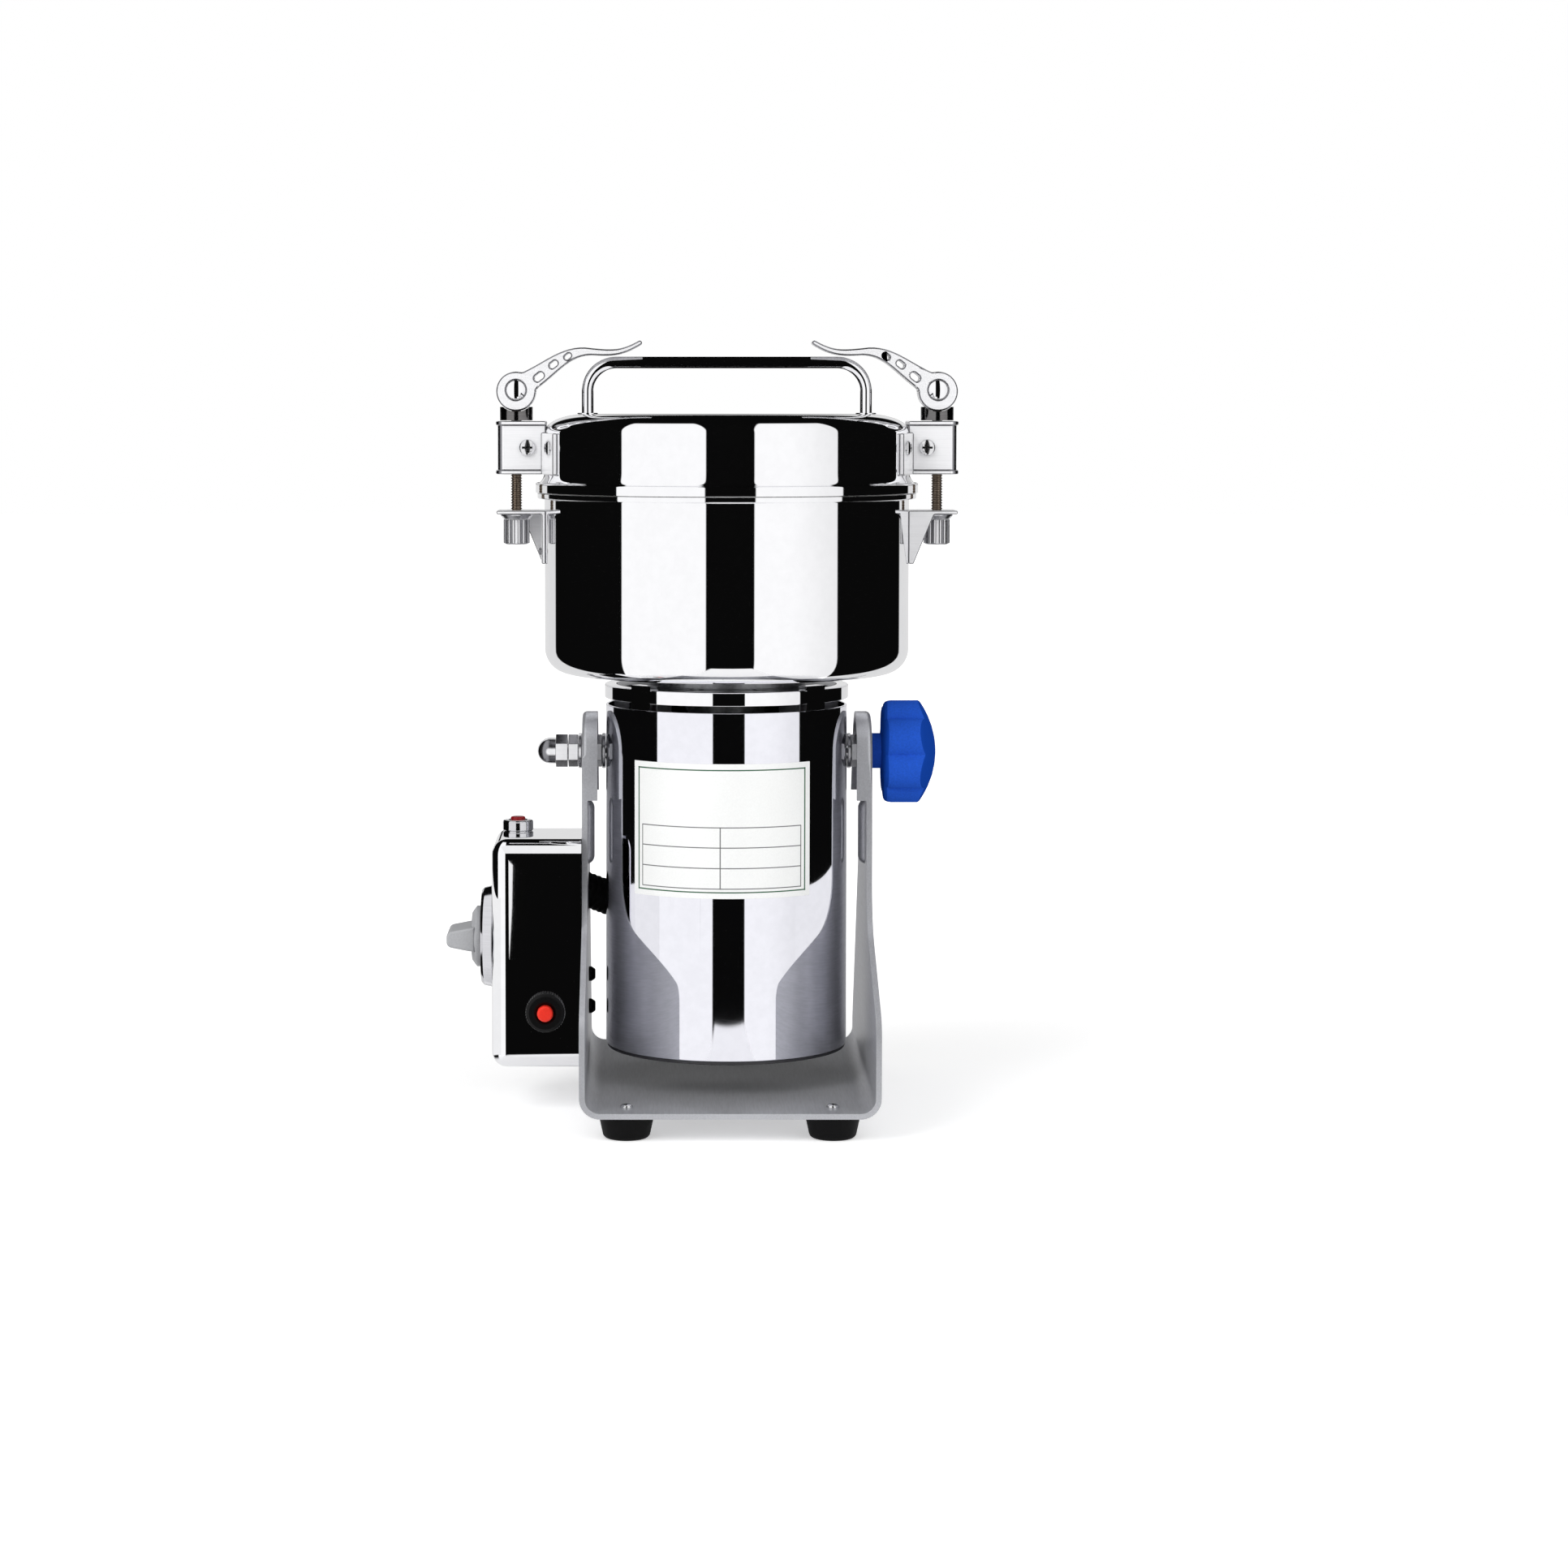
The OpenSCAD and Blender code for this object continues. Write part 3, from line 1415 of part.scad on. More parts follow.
module left_clamp_rod() {
    mirror([1, 0, 0]) clamp_rod();
}

module left_lever_pin() {
    mirror([1, 0, 0]) lever_pin();
}

module left_cam_washer() {
    mirror([1, 0, 0]) cam_washer();
}

module left_clamp_lever() {
    mirror([1, 0, 0]) clamp_lever();
}

module right_clamp_rod() {
    clamp_rod();
}

module right_lever_pin() {
    lever_pin();
}

module right_cam_washer() {
    cam_washer();
}

module right_clamp_lever() {
    clamp_lever();
}

stand_bracket();
rubber_feet();
foot_screws();
control_box_shell();
box_screws();
timer_dial();
timer_mechanism();
button_collar();
power_switch();
reset_collar();
overload_breaker();
cord_gland();
timer_knob();
timer_spindle();
power_button();
reset_button();
motor_housing();
bottom_cover();
cover_screws();
motor_collar();
upper_end_shield();
lower_end_shield();
stator_core();
field_coils();
motor_bearings();
brush_holders();
carbon_brushes();
pivot_stud();
hex_nuts();
cap_nut();
grinding_bowl();
bowl_screws();
shaft_seal();
clamp_shelves();
thumb_nuts();
motor_lead();
motor_shaft();
armature_core();
armature_winding();
commutator();
cooling_fan();
main_blade();
upper_blade();
blade_nut();
tilt_knob();
tilt_bolt();
lid();
lid_gasket();
lid_handle();
lid_brackets();
bracket_screws();
left_clamp_rod();
left_lever_pin();
left_cam_washer();
left_clamp_lever();
right_clamp_rod();
right_lever_pin();
right_cam_washer();
right_clamp_lever();
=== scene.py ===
"""Dress the tilting spice grinder: finishes, smooth pieces, studio and camera."""
import logging
import math
from collections.abc import Callable, Sequence
from dataclasses import dataclass
from enum import Enum
from typing import Any

import bmesh
import bpy
from mathutils import Matrix, Vector


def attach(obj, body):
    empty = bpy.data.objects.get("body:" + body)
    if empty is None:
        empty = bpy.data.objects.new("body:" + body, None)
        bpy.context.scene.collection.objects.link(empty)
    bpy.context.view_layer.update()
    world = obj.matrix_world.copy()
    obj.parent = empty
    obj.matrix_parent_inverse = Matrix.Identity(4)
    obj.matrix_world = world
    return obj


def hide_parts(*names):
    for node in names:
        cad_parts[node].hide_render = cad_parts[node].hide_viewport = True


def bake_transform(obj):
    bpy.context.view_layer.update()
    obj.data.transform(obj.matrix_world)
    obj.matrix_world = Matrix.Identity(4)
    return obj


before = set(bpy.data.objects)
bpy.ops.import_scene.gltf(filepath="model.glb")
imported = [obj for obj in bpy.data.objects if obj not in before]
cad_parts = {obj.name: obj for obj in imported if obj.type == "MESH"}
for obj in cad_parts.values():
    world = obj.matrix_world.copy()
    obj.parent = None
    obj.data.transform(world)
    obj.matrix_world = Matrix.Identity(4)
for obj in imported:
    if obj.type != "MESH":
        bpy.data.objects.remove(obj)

LOG = logging.getLogger("grinder")
MM = 0.001
FLAT = Matrix.Identity(4)
WELD = 2e-6
SHARP = 32.0
BEND = math.radians(38)
Mesh = bpy.types.Mesh
Point = tuple[float, float]
Triple = tuple[float, float, float]


def linear(colour: Triple) -> tuple[float, ...]:
    """Turn a display colour of 0 to 255 into a linear colour with full alpha."""
    parts = [c / 255 for c in colour]
    return *(p / 12.92 if p <= 0.04045 else ((p + 0.055) / 1.055) ** 2.4 for p in parts), 1.0


class Wire:
    """A node socket that joins in Python expressions."""

    def __init__(self, bench: "Bench", socket: bpy.types.NodeSocket) -> None:
        """Keep the socket and the bench that adds nodes to its tree."""
        self.bench = bench
        self.socket = socket

    def maths(self, operation: str, other: Any = 0.0) -> "Wire":
        """Put this value and another one through a Math node."""
        return self.bench.add("ShaderNodeMath", {"operation": operation}, {0: self, 1: other})

    def __add__(self, other: Any) -> "Wire":
        """Sum of two values."""
        return self.maths("ADD", other)

    __radd__ = __add__

    def __sub__(self, other: Any) -> "Wire":
        """Difference of two values."""
        return self.maths("SUBTRACT", other)

    def __rsub__(self, other: Any) -> "Wire":
        """Difference with this value taken away."""
        return self.bench.add("ShaderNodeMath", {"operation": "SUBTRACT"}, {0: other, 1: self})

    def __mul__(self, other: Any) -> "Wire":
        """Product of two values."""
        return self.maths("MULTIPLY", other)

    __rmul__ = __mul__

    def __truediv__(self, other: Any) -> "Wire":
        """Quotient of two values."""
        return self.maths("DIVIDE", other)

    def __abs__(self) -> "Wire":
        """Size of the value without its sign."""
        return self.maths("ABSOLUTE")

    def rise(self, low: float, high: float) -> "Wire":
        """Go smoothly from 0 at the low value to 1 at the high one."""
        return self.bench.add("ShaderNodeMapRange", {"interpolation_type": "SMOOTHSTEP"},
                              {0: self, 1: low, 2: high})

    def band(self, low: float, high: float, soft: float) -> "Wire":
        """Be 1 between two values and 0 outside, with soft ends of the given width."""
        return self.rise(low - soft, low + soft) * (1 - self.rise(high - soft, high + soft))


class Bench:
    """Adds nodes and links to one node tree."""

    def __init__(self, tree: bpy.types.NodeTree) -> None:
        """Clear the tree and keep it."""
        self.tree = tree
        tree.nodes.clear()

    def node(self, kind: str, settings: dict[str, Any] | None = None,
             sockets: dict[Any, Any] | None = None) -> bpy.types.Node:
        """Add a node of any type.

        Args:
            kind: The node's type name.
            settings: Properties that are set first.
            sockets: Values or wires for its inputs, by name or number.

        Returns:
            The new node.
        """
        made = self.tree.nodes.new(kind)
        for key, value in (settings or {}).items():
            setattr(made, key, value)
        for key, value in (sockets or {}).items():
            if isinstance(value, Wire):
                self.tree.links.new(value.socket, made.inputs[key])
            else:
                made.inputs[key].default_value = value
        return made

    def add(self, kind: str, settings: dict[str, Any] | None = None,
            sockets: dict[Any, Any] | None = None, out: Any = 0) -> Wire:
        """Add a node and take one of its outputs, by name or number."""
        return Wire(self, self.node(kind, settings, sockets).outputs[out])

    def split(self, vector: Wire) -> list[Wire]:
        """Take x, y and z out of a vector."""
        parts = self.node("ShaderNodeSeparateXYZ", None, {0: vector})
        return [Wire(self, socket) for socket in parts.outputs]

    def where(self, out: str = "Object") -> Wire:
        """Take the piece's own coordinates or another output of that node."""
        return self.add("ShaderNodeTexCoord", out=out)

    def ray(self, kind: str) -> Wire:
        """Be 1 for rays of one kind."""
        return self.add("ShaderNodeLightPath", out=f"Is {kind} Ray")

    def mix(self, share: Any, first: Any, second: Any) -> Wire:
        """Mix two colours, with the given share of the second one."""
        return self.add("ShaderNodeMix", {"data_type": "RGBA"}, {0: share, 6: first, 7: second}, 2)

    def blend(self, share: Wire, first: Wire, second: Wire) -> Wire:
        """Mix two shaders, with the given share of the second one."""
        return self.add("ShaderNodeMixShader", None, {0: share, 1: first, 2: second})

    def noise(self, stretch: Triple, detail: float = 3.0) -> Wire:
        """Add noise over the piece's own coordinates.

        Args:
            stretch: Waves per metre along each axis.
            detail: Octaves of the noise.

        Returns:
            The noise, about 0.3 to 0.7.
        """
        scaled = self.add("ShaderNodeVectorMath", {"operation": "MULTIPLY"},
                          {0: self.where(), 1: stretch})
        return self.add("ShaderNodeTexNoise", None,
                        {"Vector": scaled, "Scale": 1.0, "Detail": detail})


def blank(name: str) -> tuple[bpy.types.Material, Bench]:
    """Make an empty material.

    Args:
        name: Name of the material.

    Returns:
        The material and the bench for its nodes.
    """
    made = bpy.data.materials.new(name)
    made.use_nodes = True
    return made, Bench(made.node_tree)


class Grain(Enum):
    """Small-scale pattern of a surface, as waves per metre along x, y and z."""

    POLISHED = (240.0, 240.0, 240.0)
    ROLLED = (1500.0, 90.0, 1500.0)
    TURNED = (60.0, 60.0, 2600.0)
    MOULDED = (1300.0, 1300.0, 1300.0)
    CAST = (520.0, 520.0, 520.0)
    LAYERED = (12.0, 12.0, 3200.0)
    WOUND = (2200.0, 2200.0, 160.0)
    CLOUDY = (38.0, 38.0, 38.0)


@dataclass(frozen=True)
class Finish:
    """Colour, gloss and small-scale pattern of one material.

    Fields: slot in the record, display colour, metallic share, roughness, pattern, change of the
    roughness over the surface, depth of the pattern in micrometres, tone of its dark places,
    name if not the slot's, specular level, how much more metallic its turned faces are, their
    painted shade colour if they differ, and the axis and the range of the normal that make a face a
    turned one. That colour is painted shade on faces turned away along one axis of the piece.
    """

    slot: str
    colour: Triple
    metallic: float
    roughness: float
    grain: Grain
    spread: float = 0.06
    depth: float = 4.0
    tone: float = 0.86
    name: str = ""
    specular: float = 0.5
    edge: float = 0.0
    rim: Triple | None = None
    axis: int = 1
    reach: Point = (0.42, 0.96)

    def material(self) -> bpy.types.Material:
        """Build the material once and hand it out."""
        label = (self.name or self.slot) + "_finish"
        if label in bpy.data.materials:
            return bpy.data.materials[label]
        made, bench = blank(label)
        fine = bench.noise(self.grain.value)
        cloud = bench.noise(Grain.CLOUDY.value, 4.0)
        worn = (fine * 0.6 + cloud * 0.4).rise(0.32, 0.68)
        shaded = tuple(c * self.tone for c in self.colour)
        colour = self.paint(bench, bench.mix(worn, linear(shaded), linear(self.colour)))
        rough = self.roughness - self.spread + (fine * 0.5 + cloud * 1.5) * self.spread
        bump = bench.add("ShaderNodeBump", None,
                         {"Strength": 0.6, "Distance": self.depth * 1e-6, "Height": fine})
        metal: Any = self.metallic
        # Painted shade: faces turned along the chosen axis take the darker colour, standing in for
        # shade and dark reflections on them.
        if self.rim:
            normal = bench.split(bench.where("Normal"))[self.axis]
            turned = abs(normal).band(*self.reach, 0.03)
            metal = turned * self.edge + metal
            colour = bench.mix(turned, colour, linear(self.rim))
        shader = bench.add("ShaderNodeBsdfPrincipled", None, {
            "Base Color": colour, "Metallic": metal, "Roughness": rough, "Normal": bump,
            "Specular IOR Level": self.specular})
        bench.node("ShaderNodeOutputMaterial", None, {0: shader})
        return made

    def paint(self, bench: Bench, colour: Wire) -> Wire:
        """Hand the plain colour on; finishes with a drawn pattern change it here."""
        return colour


@dataclass(frozen=True)
class Plate(Finish):
    """White plate on the motor with a plain border and an empty table.

    Its lines lie at shares of the plate's half width and half height.
    """

    turn: float = 0.0
    half: float = 0.0
    middle: float = 0.0
    height: float = 0.0
    ink: Triple = (40, 92, 60)
    rule: Triple = (40, 40, 44)
    side: Point = (0.926, 0.941)
    ends: Point = (0.897, 0.916)
    outer: Point = (0.876, 0.887)
    centre: float = 0.0055
    thick: float = 0.0145
    rows: tuple[float, ...] = (0.05, -0.25, -0.555, -0.86)

    def paint(self, bench: Bench, colour: Wire) -> Wire:
        """Draw the border and the empty table over the white.

        Args:
            bench: Bench of the material.
            colour: The plate's own colour.

        Returns:
            The colour with its lines.
        """
        x, y, z = bench.split(bench.where())
        across = (x.maths("ARCTAN2", 0 - y) - self.turn) / self.half
        up = (z - self.middle) / self.height
        wide, tall = abs(across), abs(up)
        border = (wide.band(*self.side, 0.002) * (1 - tall.rise(self.ends[1], self.ends[1] + 0.005))
                  + tall.band(*self.ends, 0.003) * (1 - wide.rise(0.939, 0.943)))
        inside = 1 - wide.rise(0.884, 0.886)
        table = wide.band(*self.outer, 0.001) + wide.band(-0.1, self.centre, 0.001)
        table = table * up.band(self.rows[-1], self.rows[0] + 0.01, 0.003)
        for row in self.rows:
            table = table + up.band(row, row + self.thick, 0.003) * inside
        colour = bench.mix(table.maths("MINIMUM", 0.85), colour, linear(self.rule))
        return bench.mix(border.maths("MINIMUM", 1.0), colour, linear(self.ink))


MIRROR = Finish("mirror_steel", (246, 246, 248), 1.0, 0.022, Grain.POLISHED, 0.012, 0.1, 0.985)
# Housing steel tinted grey-lavender: the tint is a painted reflection colour, standing in for
# lavender reflections.
MIRROR_PAINTED_TINT = Finish("mirror_steel", (238, 238, 245), 1.0, 0.035, Grain.POLISHED, 0.02, 0.1, 0.98,
              "mirror_steel_painted_tint")
SATIN = Finish("satin_steel", (200, 201, 206), 0.6, 0.4, Grain.ROLLED, 0.06, 2.0, 0.93)
BRIGHT = Finish("bright_steel", (232, 232, 234), 1.0, 0.16, Grain.TURNED, 0.05, 1.5, 0.93)
RUBBER = Finish("black_rubber", (15, 15, 16), 0.0, 0.55, Grain.MOULDED, 0.1, 12.0, 0.8, "", 0.1)
BLACK = Finish("black_plastic", (9, 9, 10), 0.0, 0.34, Grain.MOULDED, 0.07, 6.0, 0.8, "", 0.2)
RED = Finish("red_plastic", (255, 54, 36), 0.0, 0.28, Grain.MOULDED, 0.06, 4.0, 0.96, "", 0.3)
# Blue star knob; the darker blue on faces turned along the knob's axis, its dome, is painted shade.
BLUE = Finish("blue_plastic", (42, 94, 212), 0.0, 0.3, Grain.MOULDED, 0.07, 8.0, 0.9, "", 0.0,
              0.0, (22, 68, 166), 0, (0.4, 2.0))
GREY = Finish("grey_plastic", (182, 183, 186), 0.0, 0.38, Grain.MOULDED, 0.06, 5.0, 0.95, "", 0.3)
BEZEL = Finish("bezel_chrome", (214, 214, 218), 1.0, 0.1, Grain.TURNED, 0.03, 0.6, 0.96)
SILICONE = Finish("silicone", (226, 226, 220), 0.0, 0.5, Grain.MOULDED, 0.06, 5.0, 0.94)
DARK_PAINT = Finish("dark_paint", (52, 52, 55), 0.0, 0.42, Grain.CAST, 0.08, 10.0, 0.85)
ALLOY = Finish("cast_alloy", (176, 177, 180), 1.0, 0.38, Grain.CAST, 0.1, 14.0, 0.85)
LAMINATION = Finish("lamination", (112, 113, 118), 1.0, 0.45, Grain.LAYERED, 0.08, 20.0, 0.6)
COPPER = Finish("copper_wire", (184, 110, 62), 1.0, 0.34, Grain.WOUND, 0.08, 26.0, 0.6)
BRASS = Finish("brass", (206, 172, 92), 1.0, 0.28, Grain.TURNED, 0.07, 3.0, 0.88)
CARBON = Finish("carbon", (40, 40, 43), 0.0, 0.62, Grain.CAST, 0.1, 10.0, 0.8)
# Cam washers in a dark metal: partly the real black saddle washer, partly a painted reflection of
# dark surroundings in chrome.
DARK_WASHER_PAINTED_REFLECTION = Finish("bright_steel", (120, 118, 118), 1.0, 0.12, Grain.TURNED, 0.04, 0.8, 0.9,
                     "dark_washer_painted_reflection")
# Polished steel parts drawn near-white and nearly non-metallic: the white is a painted reflection
# of the white room, and the grey on their turned edges is painted shade and dark reflection.
PALE_PAINTED_REFLECTION = Finish("bright_steel", (252, 252, 254), 0.06, 0.24, Grain.TURNED, 0.06, 1.5, 0.97,
              "white_painted_reflection", 0.5, 0.92, (138, 138, 142))
THREAD = Finish("bright_steel", (150, 136, 122), 1.0, 0.3, Grain.TURNED, 0.08, 3.0, 0.8,
                "threaded_steel")
DARK_RED = Finish("red_plastic", (150, 16, 22), 0.0, 0.3, Grain.MOULDED, 0.06, 4.0, 0.85,
                  "dark_red", 0.3)
INK = Finish("black_plastic", (36, 36, 40), 0.0, 0.5, Grain.MOULDED, 0.05, 2.0, 0.9, "dial_ink")


def placed(name: str, data: Any) -> bpy.types.Object:
    """Make an object and link it to the scene.

    Args:
        name: Name of the object.
        data: Its mesh, lamp or camera.

    Returns:
        The object.
    """
    made = bpy.data.objects.new(name, data)
    bpy.context.scene.collection.objects.link(made)
    return made


def evaluated(host: bpy.types.Object) -> Mesh:
    """Turn an object with modifiers into a plain mesh.

    Args:
        host: The object, which is removed.

    Returns:
        The mesh.
    """
    bpy.context.view_layer.update()
    graph = bpy.context.evaluated_depsgraph_get()
    mesh = bpy.data.meshes.new_from_object(host.evaluated_get(graph))
    bpy.data.objects.remove(host)
    return mesh


def moved(mesh: Mesh, place: Matrix) -> Mesh:
    """Copy a mesh to another place.

    Args:
        mesh: The mesh, in metres.
        place: Where it goes, in millimetres.

    Returns:
        The copy.
    """
    copy = mesh.copy()
    copy.transform(Matrix.Translation(place.to_translation() * MM) @ place.to_3x3().to_4x4())
    if place.determinant() < 0:
        copy.flip_normals()
    return copy


def gathered(meshes: Sequence[Mesh]) -> Mesh:
    """Join meshes.

    Args:
        meshes: The meshes.

    Returns:
        One mesh with all of them.
    """
    work = bmesh.new()
    for mesh in meshes:
        work.from_mesh(mesh)
    whole = bpy.data.meshes.new("whole")
    work.to_mesh(whole)
    work.free()
    return whole


def cad_copy(node: str, edge: float, full: float = 0.0,
             within: Callable[[Vector], bool] | None = None, clamp: bool = True) -> Mesh:
    """Copy a node's mesh, merge it, round its edges and shade it smooth.

    Args:
        node: Name of the CAD node.
        edge: Radius of the rounded edges in millimetres.
        full: Larger radius for chosen edges.
        within: Test of a point in millimetres that chooses those edges.
        clamp: Whether short edges hold the radius back.

    Returns:
        The new mesh.
    """
    work = bmesh.new()
    work.from_mesh(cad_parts[node].data)
    bmesh.ops.remove_doubles(work, verts=work.verts, dist=WELD)
    bmesh.ops.dissolve_limit(work, angle_limit=math.radians(0.4), verts=work.verts,
                             edges=work.edges)
    if within:
        chosen = [e for e in work.edges if all(within(v.co / MM) for v in e.verts)
                  and e.calc_face_angle(0.0) > BEND]
        bmesh.ops.bevel(work, geom=chosen, offset=full * MM, segments=6, profile=0.5,
                        affect="EDGES")
    plain = bpy.data.meshes.new(node)
    work.to_mesh(plain)
    work.free()
    if plain.attributes.get("custom_normal"):
        plain.attributes.remove(plain.attributes["custom_normal"])
    plain.shade_smooth()
    plain.set_sharp_from_angle(angle=math.radians(30))
    host = placed(node + "_copy", plain)
    bevel = host.modifiers.new("edges", "BEVEL")
    bevel.width = edge * MM
    bevel.segments = 3
    bevel.limit_method = "ANGLE"
    bevel.angle_limit = BEND
    bevel.harden_normals = True
    bevel.use_clamp_overlap = clamp
    bevel.miter_outer = "MITER_ARC"
    return evaluated(host)


def soften(corners: Sequence[Triple], shut: bool = True) -> list[Point]:
    """Round the corners of a profile.

    Args:
        corners: Across, up and radius of each corner.
        shut: Whether the last corner joins the first.

    Returns:
        The profile's points, with a support point beside each round.
    """
    points: list[Point] = []
    for i, (across, up, radius) in enumerate(corners):
        here = Vector((across, up))
        if radius <= 0 or (not shut and i in (0, len(corners) - 1)):
            points.append((across, up))
            continue
        before = Vector(corners[i - 1][:2]) - here
        after = Vector(corners[(i + 1) % len(corners)][:2]) - here
        back, ahead = before.normalized(), after.normalized()
        half = before.angle(after) / 2
        reach = radius / math.tan(half)
        start, end = here + back * reach, here + ahead * reach
        middle = here + (back + ahead).normalized() * radius / math.sin(half)
        support = 0.25 * radius
        points.append(tuple(start + back * min(support, 0.3 * before.length)))
        turn = math.pi - 2 * half
        steps = max(3, math.ceil(math.degrees(turn) / 11))
        arm = start - middle
        side = 1.0 if before.x * after.y - before.y * after.x < 0 else -1.0
        for k in range(steps + 1):
            angle = side * turn * k / steps
            cos, sin = math.cos(angle), math.sin(angle)
            points.append((middle.x + arm.x * cos - arm.y * sin,
                           middle.y + arm.x * sin + arm.y * cos))
        points.append(tuple(end + ahead * min(support, 0.3 * after.length)))
    return points


def axes(origin: Sequence[float], across: Sequence[float], up: Sequence[float]) -> Matrix:
    """Make a place from its origin and its first two axes.

    Args:
        origin: Where the piece's origin goes, in millimetres.
        across: Direction of its x axis.
        up: Direction of its y axis.

    Returns:
        The place.
    """
    first, second = Vector(across).normalized(), Vector(up).normalized()
    place = Matrix((first, second, first.cross(second))).transposed().to_4x4()
    place.translation = Vector(origin)
    return place


def circle(radius: float, steps: int) -> list[Point]:
    """Set points round a circle."""
    turns = [math.tau * k / steps for k in range(steps)]
    return [(radius * math.cos(t), radius * math.sin(t)) for t in turns]


class Shape:
    """Points and faces of a piece in millimetres."""

    def __init__(self) -> None:
        """Start with nothing."""
        self.points: list[Vector] = []
        self.faces: list[list[int]] = []

    def skin(self, rings: Sequence[Sequence[Vector]], place: Matrix = FLAT, shut: bool = False,
             ends: bool = True) -> "Shape":
        """Join loops of points, row by row.

        Args:
            rings: Loops with the same number of points.
            place: Where the skin goes.
            shut: Whether the last loop joins the first.
            ends: Whether the end loops are filled.

        Returns:
            This shape, so that calls chain.
        """
        start, count = len(self.points), len(rings[0])
        for ring in rings:
            self.points.extend(place @ p for p in ring)
        for row in range(len(rings) if shut else len(rings) - 1):
            low, high = start + row * count, start + (row + 1) % len(rings) * count
            for i in range(count):
                j = (i + 1) % count
                self.faces.append([low + i, low + j, high + j, high + i])
        if ends and not shut:
            last = start + (len(rings) - 1) * count
            self.faces.append(list(range(start + count - 1, start - 1, -1)))
            self.faces.append(list(range(last, last + count)))
        return self

    def lathe(self, profile: Sequence[Point], place: Matrix = FLAT, steps: int = 96,
              shut: bool = True) -> "Shape":
        """Turn a profile of radii and heights about the z axis; shut is for a closed loop."""
        rings = [[Vector((x, y, z)) for x, y in circle(r, steps)] for r, z in profile]
        return self.skin(rings, place, shut, False)

    def turn(self, corners: Sequence[Triple], place: Matrix = FLAT, steps: int = 48) -> "Shape":
        """Turn a profile with rounded corners, which is open if it starts on the axis."""
        shut = corners[0][0] > 0
        return self.lathe(soften(corners, shut), place, steps, shut)

    def sweep(self, loop: Sequence[Point], stations: Sequence[Matrix]) -> "Shape":
        """Draw a loop through a row of places, with the ends filled."""
        return self.skin([[at @ Vector((x, y, 0)) for x, y in loop] for at in stations])

    def tube(self, path: Sequence[Vector], radius: float, steps: int) -> "Shape":
        """Draw a round rod along a path.

        Args:
            path: Points of the middle line.
            radius: Radius of the rod.
            steps: Faces round the rod.

        Returns:
            This shape.
        """
        side = Vector((0, 1, 0))
        stations = []
        for i, point in enumerate(path):
            way = (path[min(i + 1, len(path) - 1)] - path[max(i - 1, 0)]).normalized()
            side = (side - way * side.dot(way)).normalized()
            stations.append(axes(point, side, way.cross(side)))
        return self.sweep(circle(radius, steps), stations)

    def prism(self, outline: Sequence[Point], low: float, high: float, edge: float = 0.4,
              place: Matrix = FLAT) -> "Shape":
        """Raise an outline into a plate with rounded edges.

        Args:
            outline: Points of the outline, against the clock.
            low: Height of its lower face.
            high: Height of its upper face.
            edge: Radius of its edges.
            place: Where the plate goes.

        Returns:
            This shape.
        """
        rows = [(edge * 1.4, low), (edge, low)]
        rows += [(edge * (1 - math.sin(a)), low + edge * (1 - math.cos(a)))
                 for a in (math.pi / 8, math.pi / 4, 3 * math.pi / 8)]
        rows += [(0.0, low + edge), (0.0, low + 1.3 * edge)]
        rows += [(inset, low + high - z) for inset, z in reversed(rows)]
        return self.skin([[Vector((x, y, z)) for x, y in self.drawn_in(outline, inset)]
                          for inset, z in rows], place)

    @staticmethod
    def drawn_in(outline: Sequence[Point], inset: float) -> list[Point]:
        """Move an outline inward.

        Args:
            outline: Points of the outline, against the clock.
            inset: How far it moves, the same all round.

        Returns:
            The smaller outline.
        """
        smaller = []
        for i, here in enumerate(outline):
            back, ahead = outline[i - 1], outline[(i + 1) % len(outline)]
            first = Vector((back[1] - here[1], here[0] - back[0])).normalized()
            second = Vector((here[1] - ahead[1], ahead[0] - here[0])).normalized()
            share = inset / max(0.3, 1 + first.dot(second))
            smaller.append((here[0] + (first.x + second.x) * share,
                            here[1] + (first.y + second.y) * share))
        return smaller

    def mesh(self, sharp: float = SHARP) -> Mesh:
        """Make the mesh: seams and poles closed, faces outward, smooth but for sharp edges.

        Args:
            sharp: Angle in degrees past which an edge stays sharp.

        Returns:
            The mesh, in metres.
        """
        data = bpy.data.meshes.new("shape")
        data.from_pydata([p * MM for p in self.points], [], self.faces)
        work = bmesh.new()
        work.from_mesh(data)
        bmesh.ops.remove_doubles(work, verts=work.verts, dist=WELD)
        bmesh.ops.dissolve_degenerate(work, edges=work.edges, dist=WELD / 2)
        bmesh.ops.recalc_face_normals(work, faces=work.faces)
        work.to_mesh(data)
        work.free()
        data.shade_smooth()
        data.set_sharp_from_angle(angle=math.radians(sharp))
        return data


class Layout(Enum):
    """How copies of an item are set out."""

    RING = "ring"
    STACK = "stack"
    SPOTS = "spots"


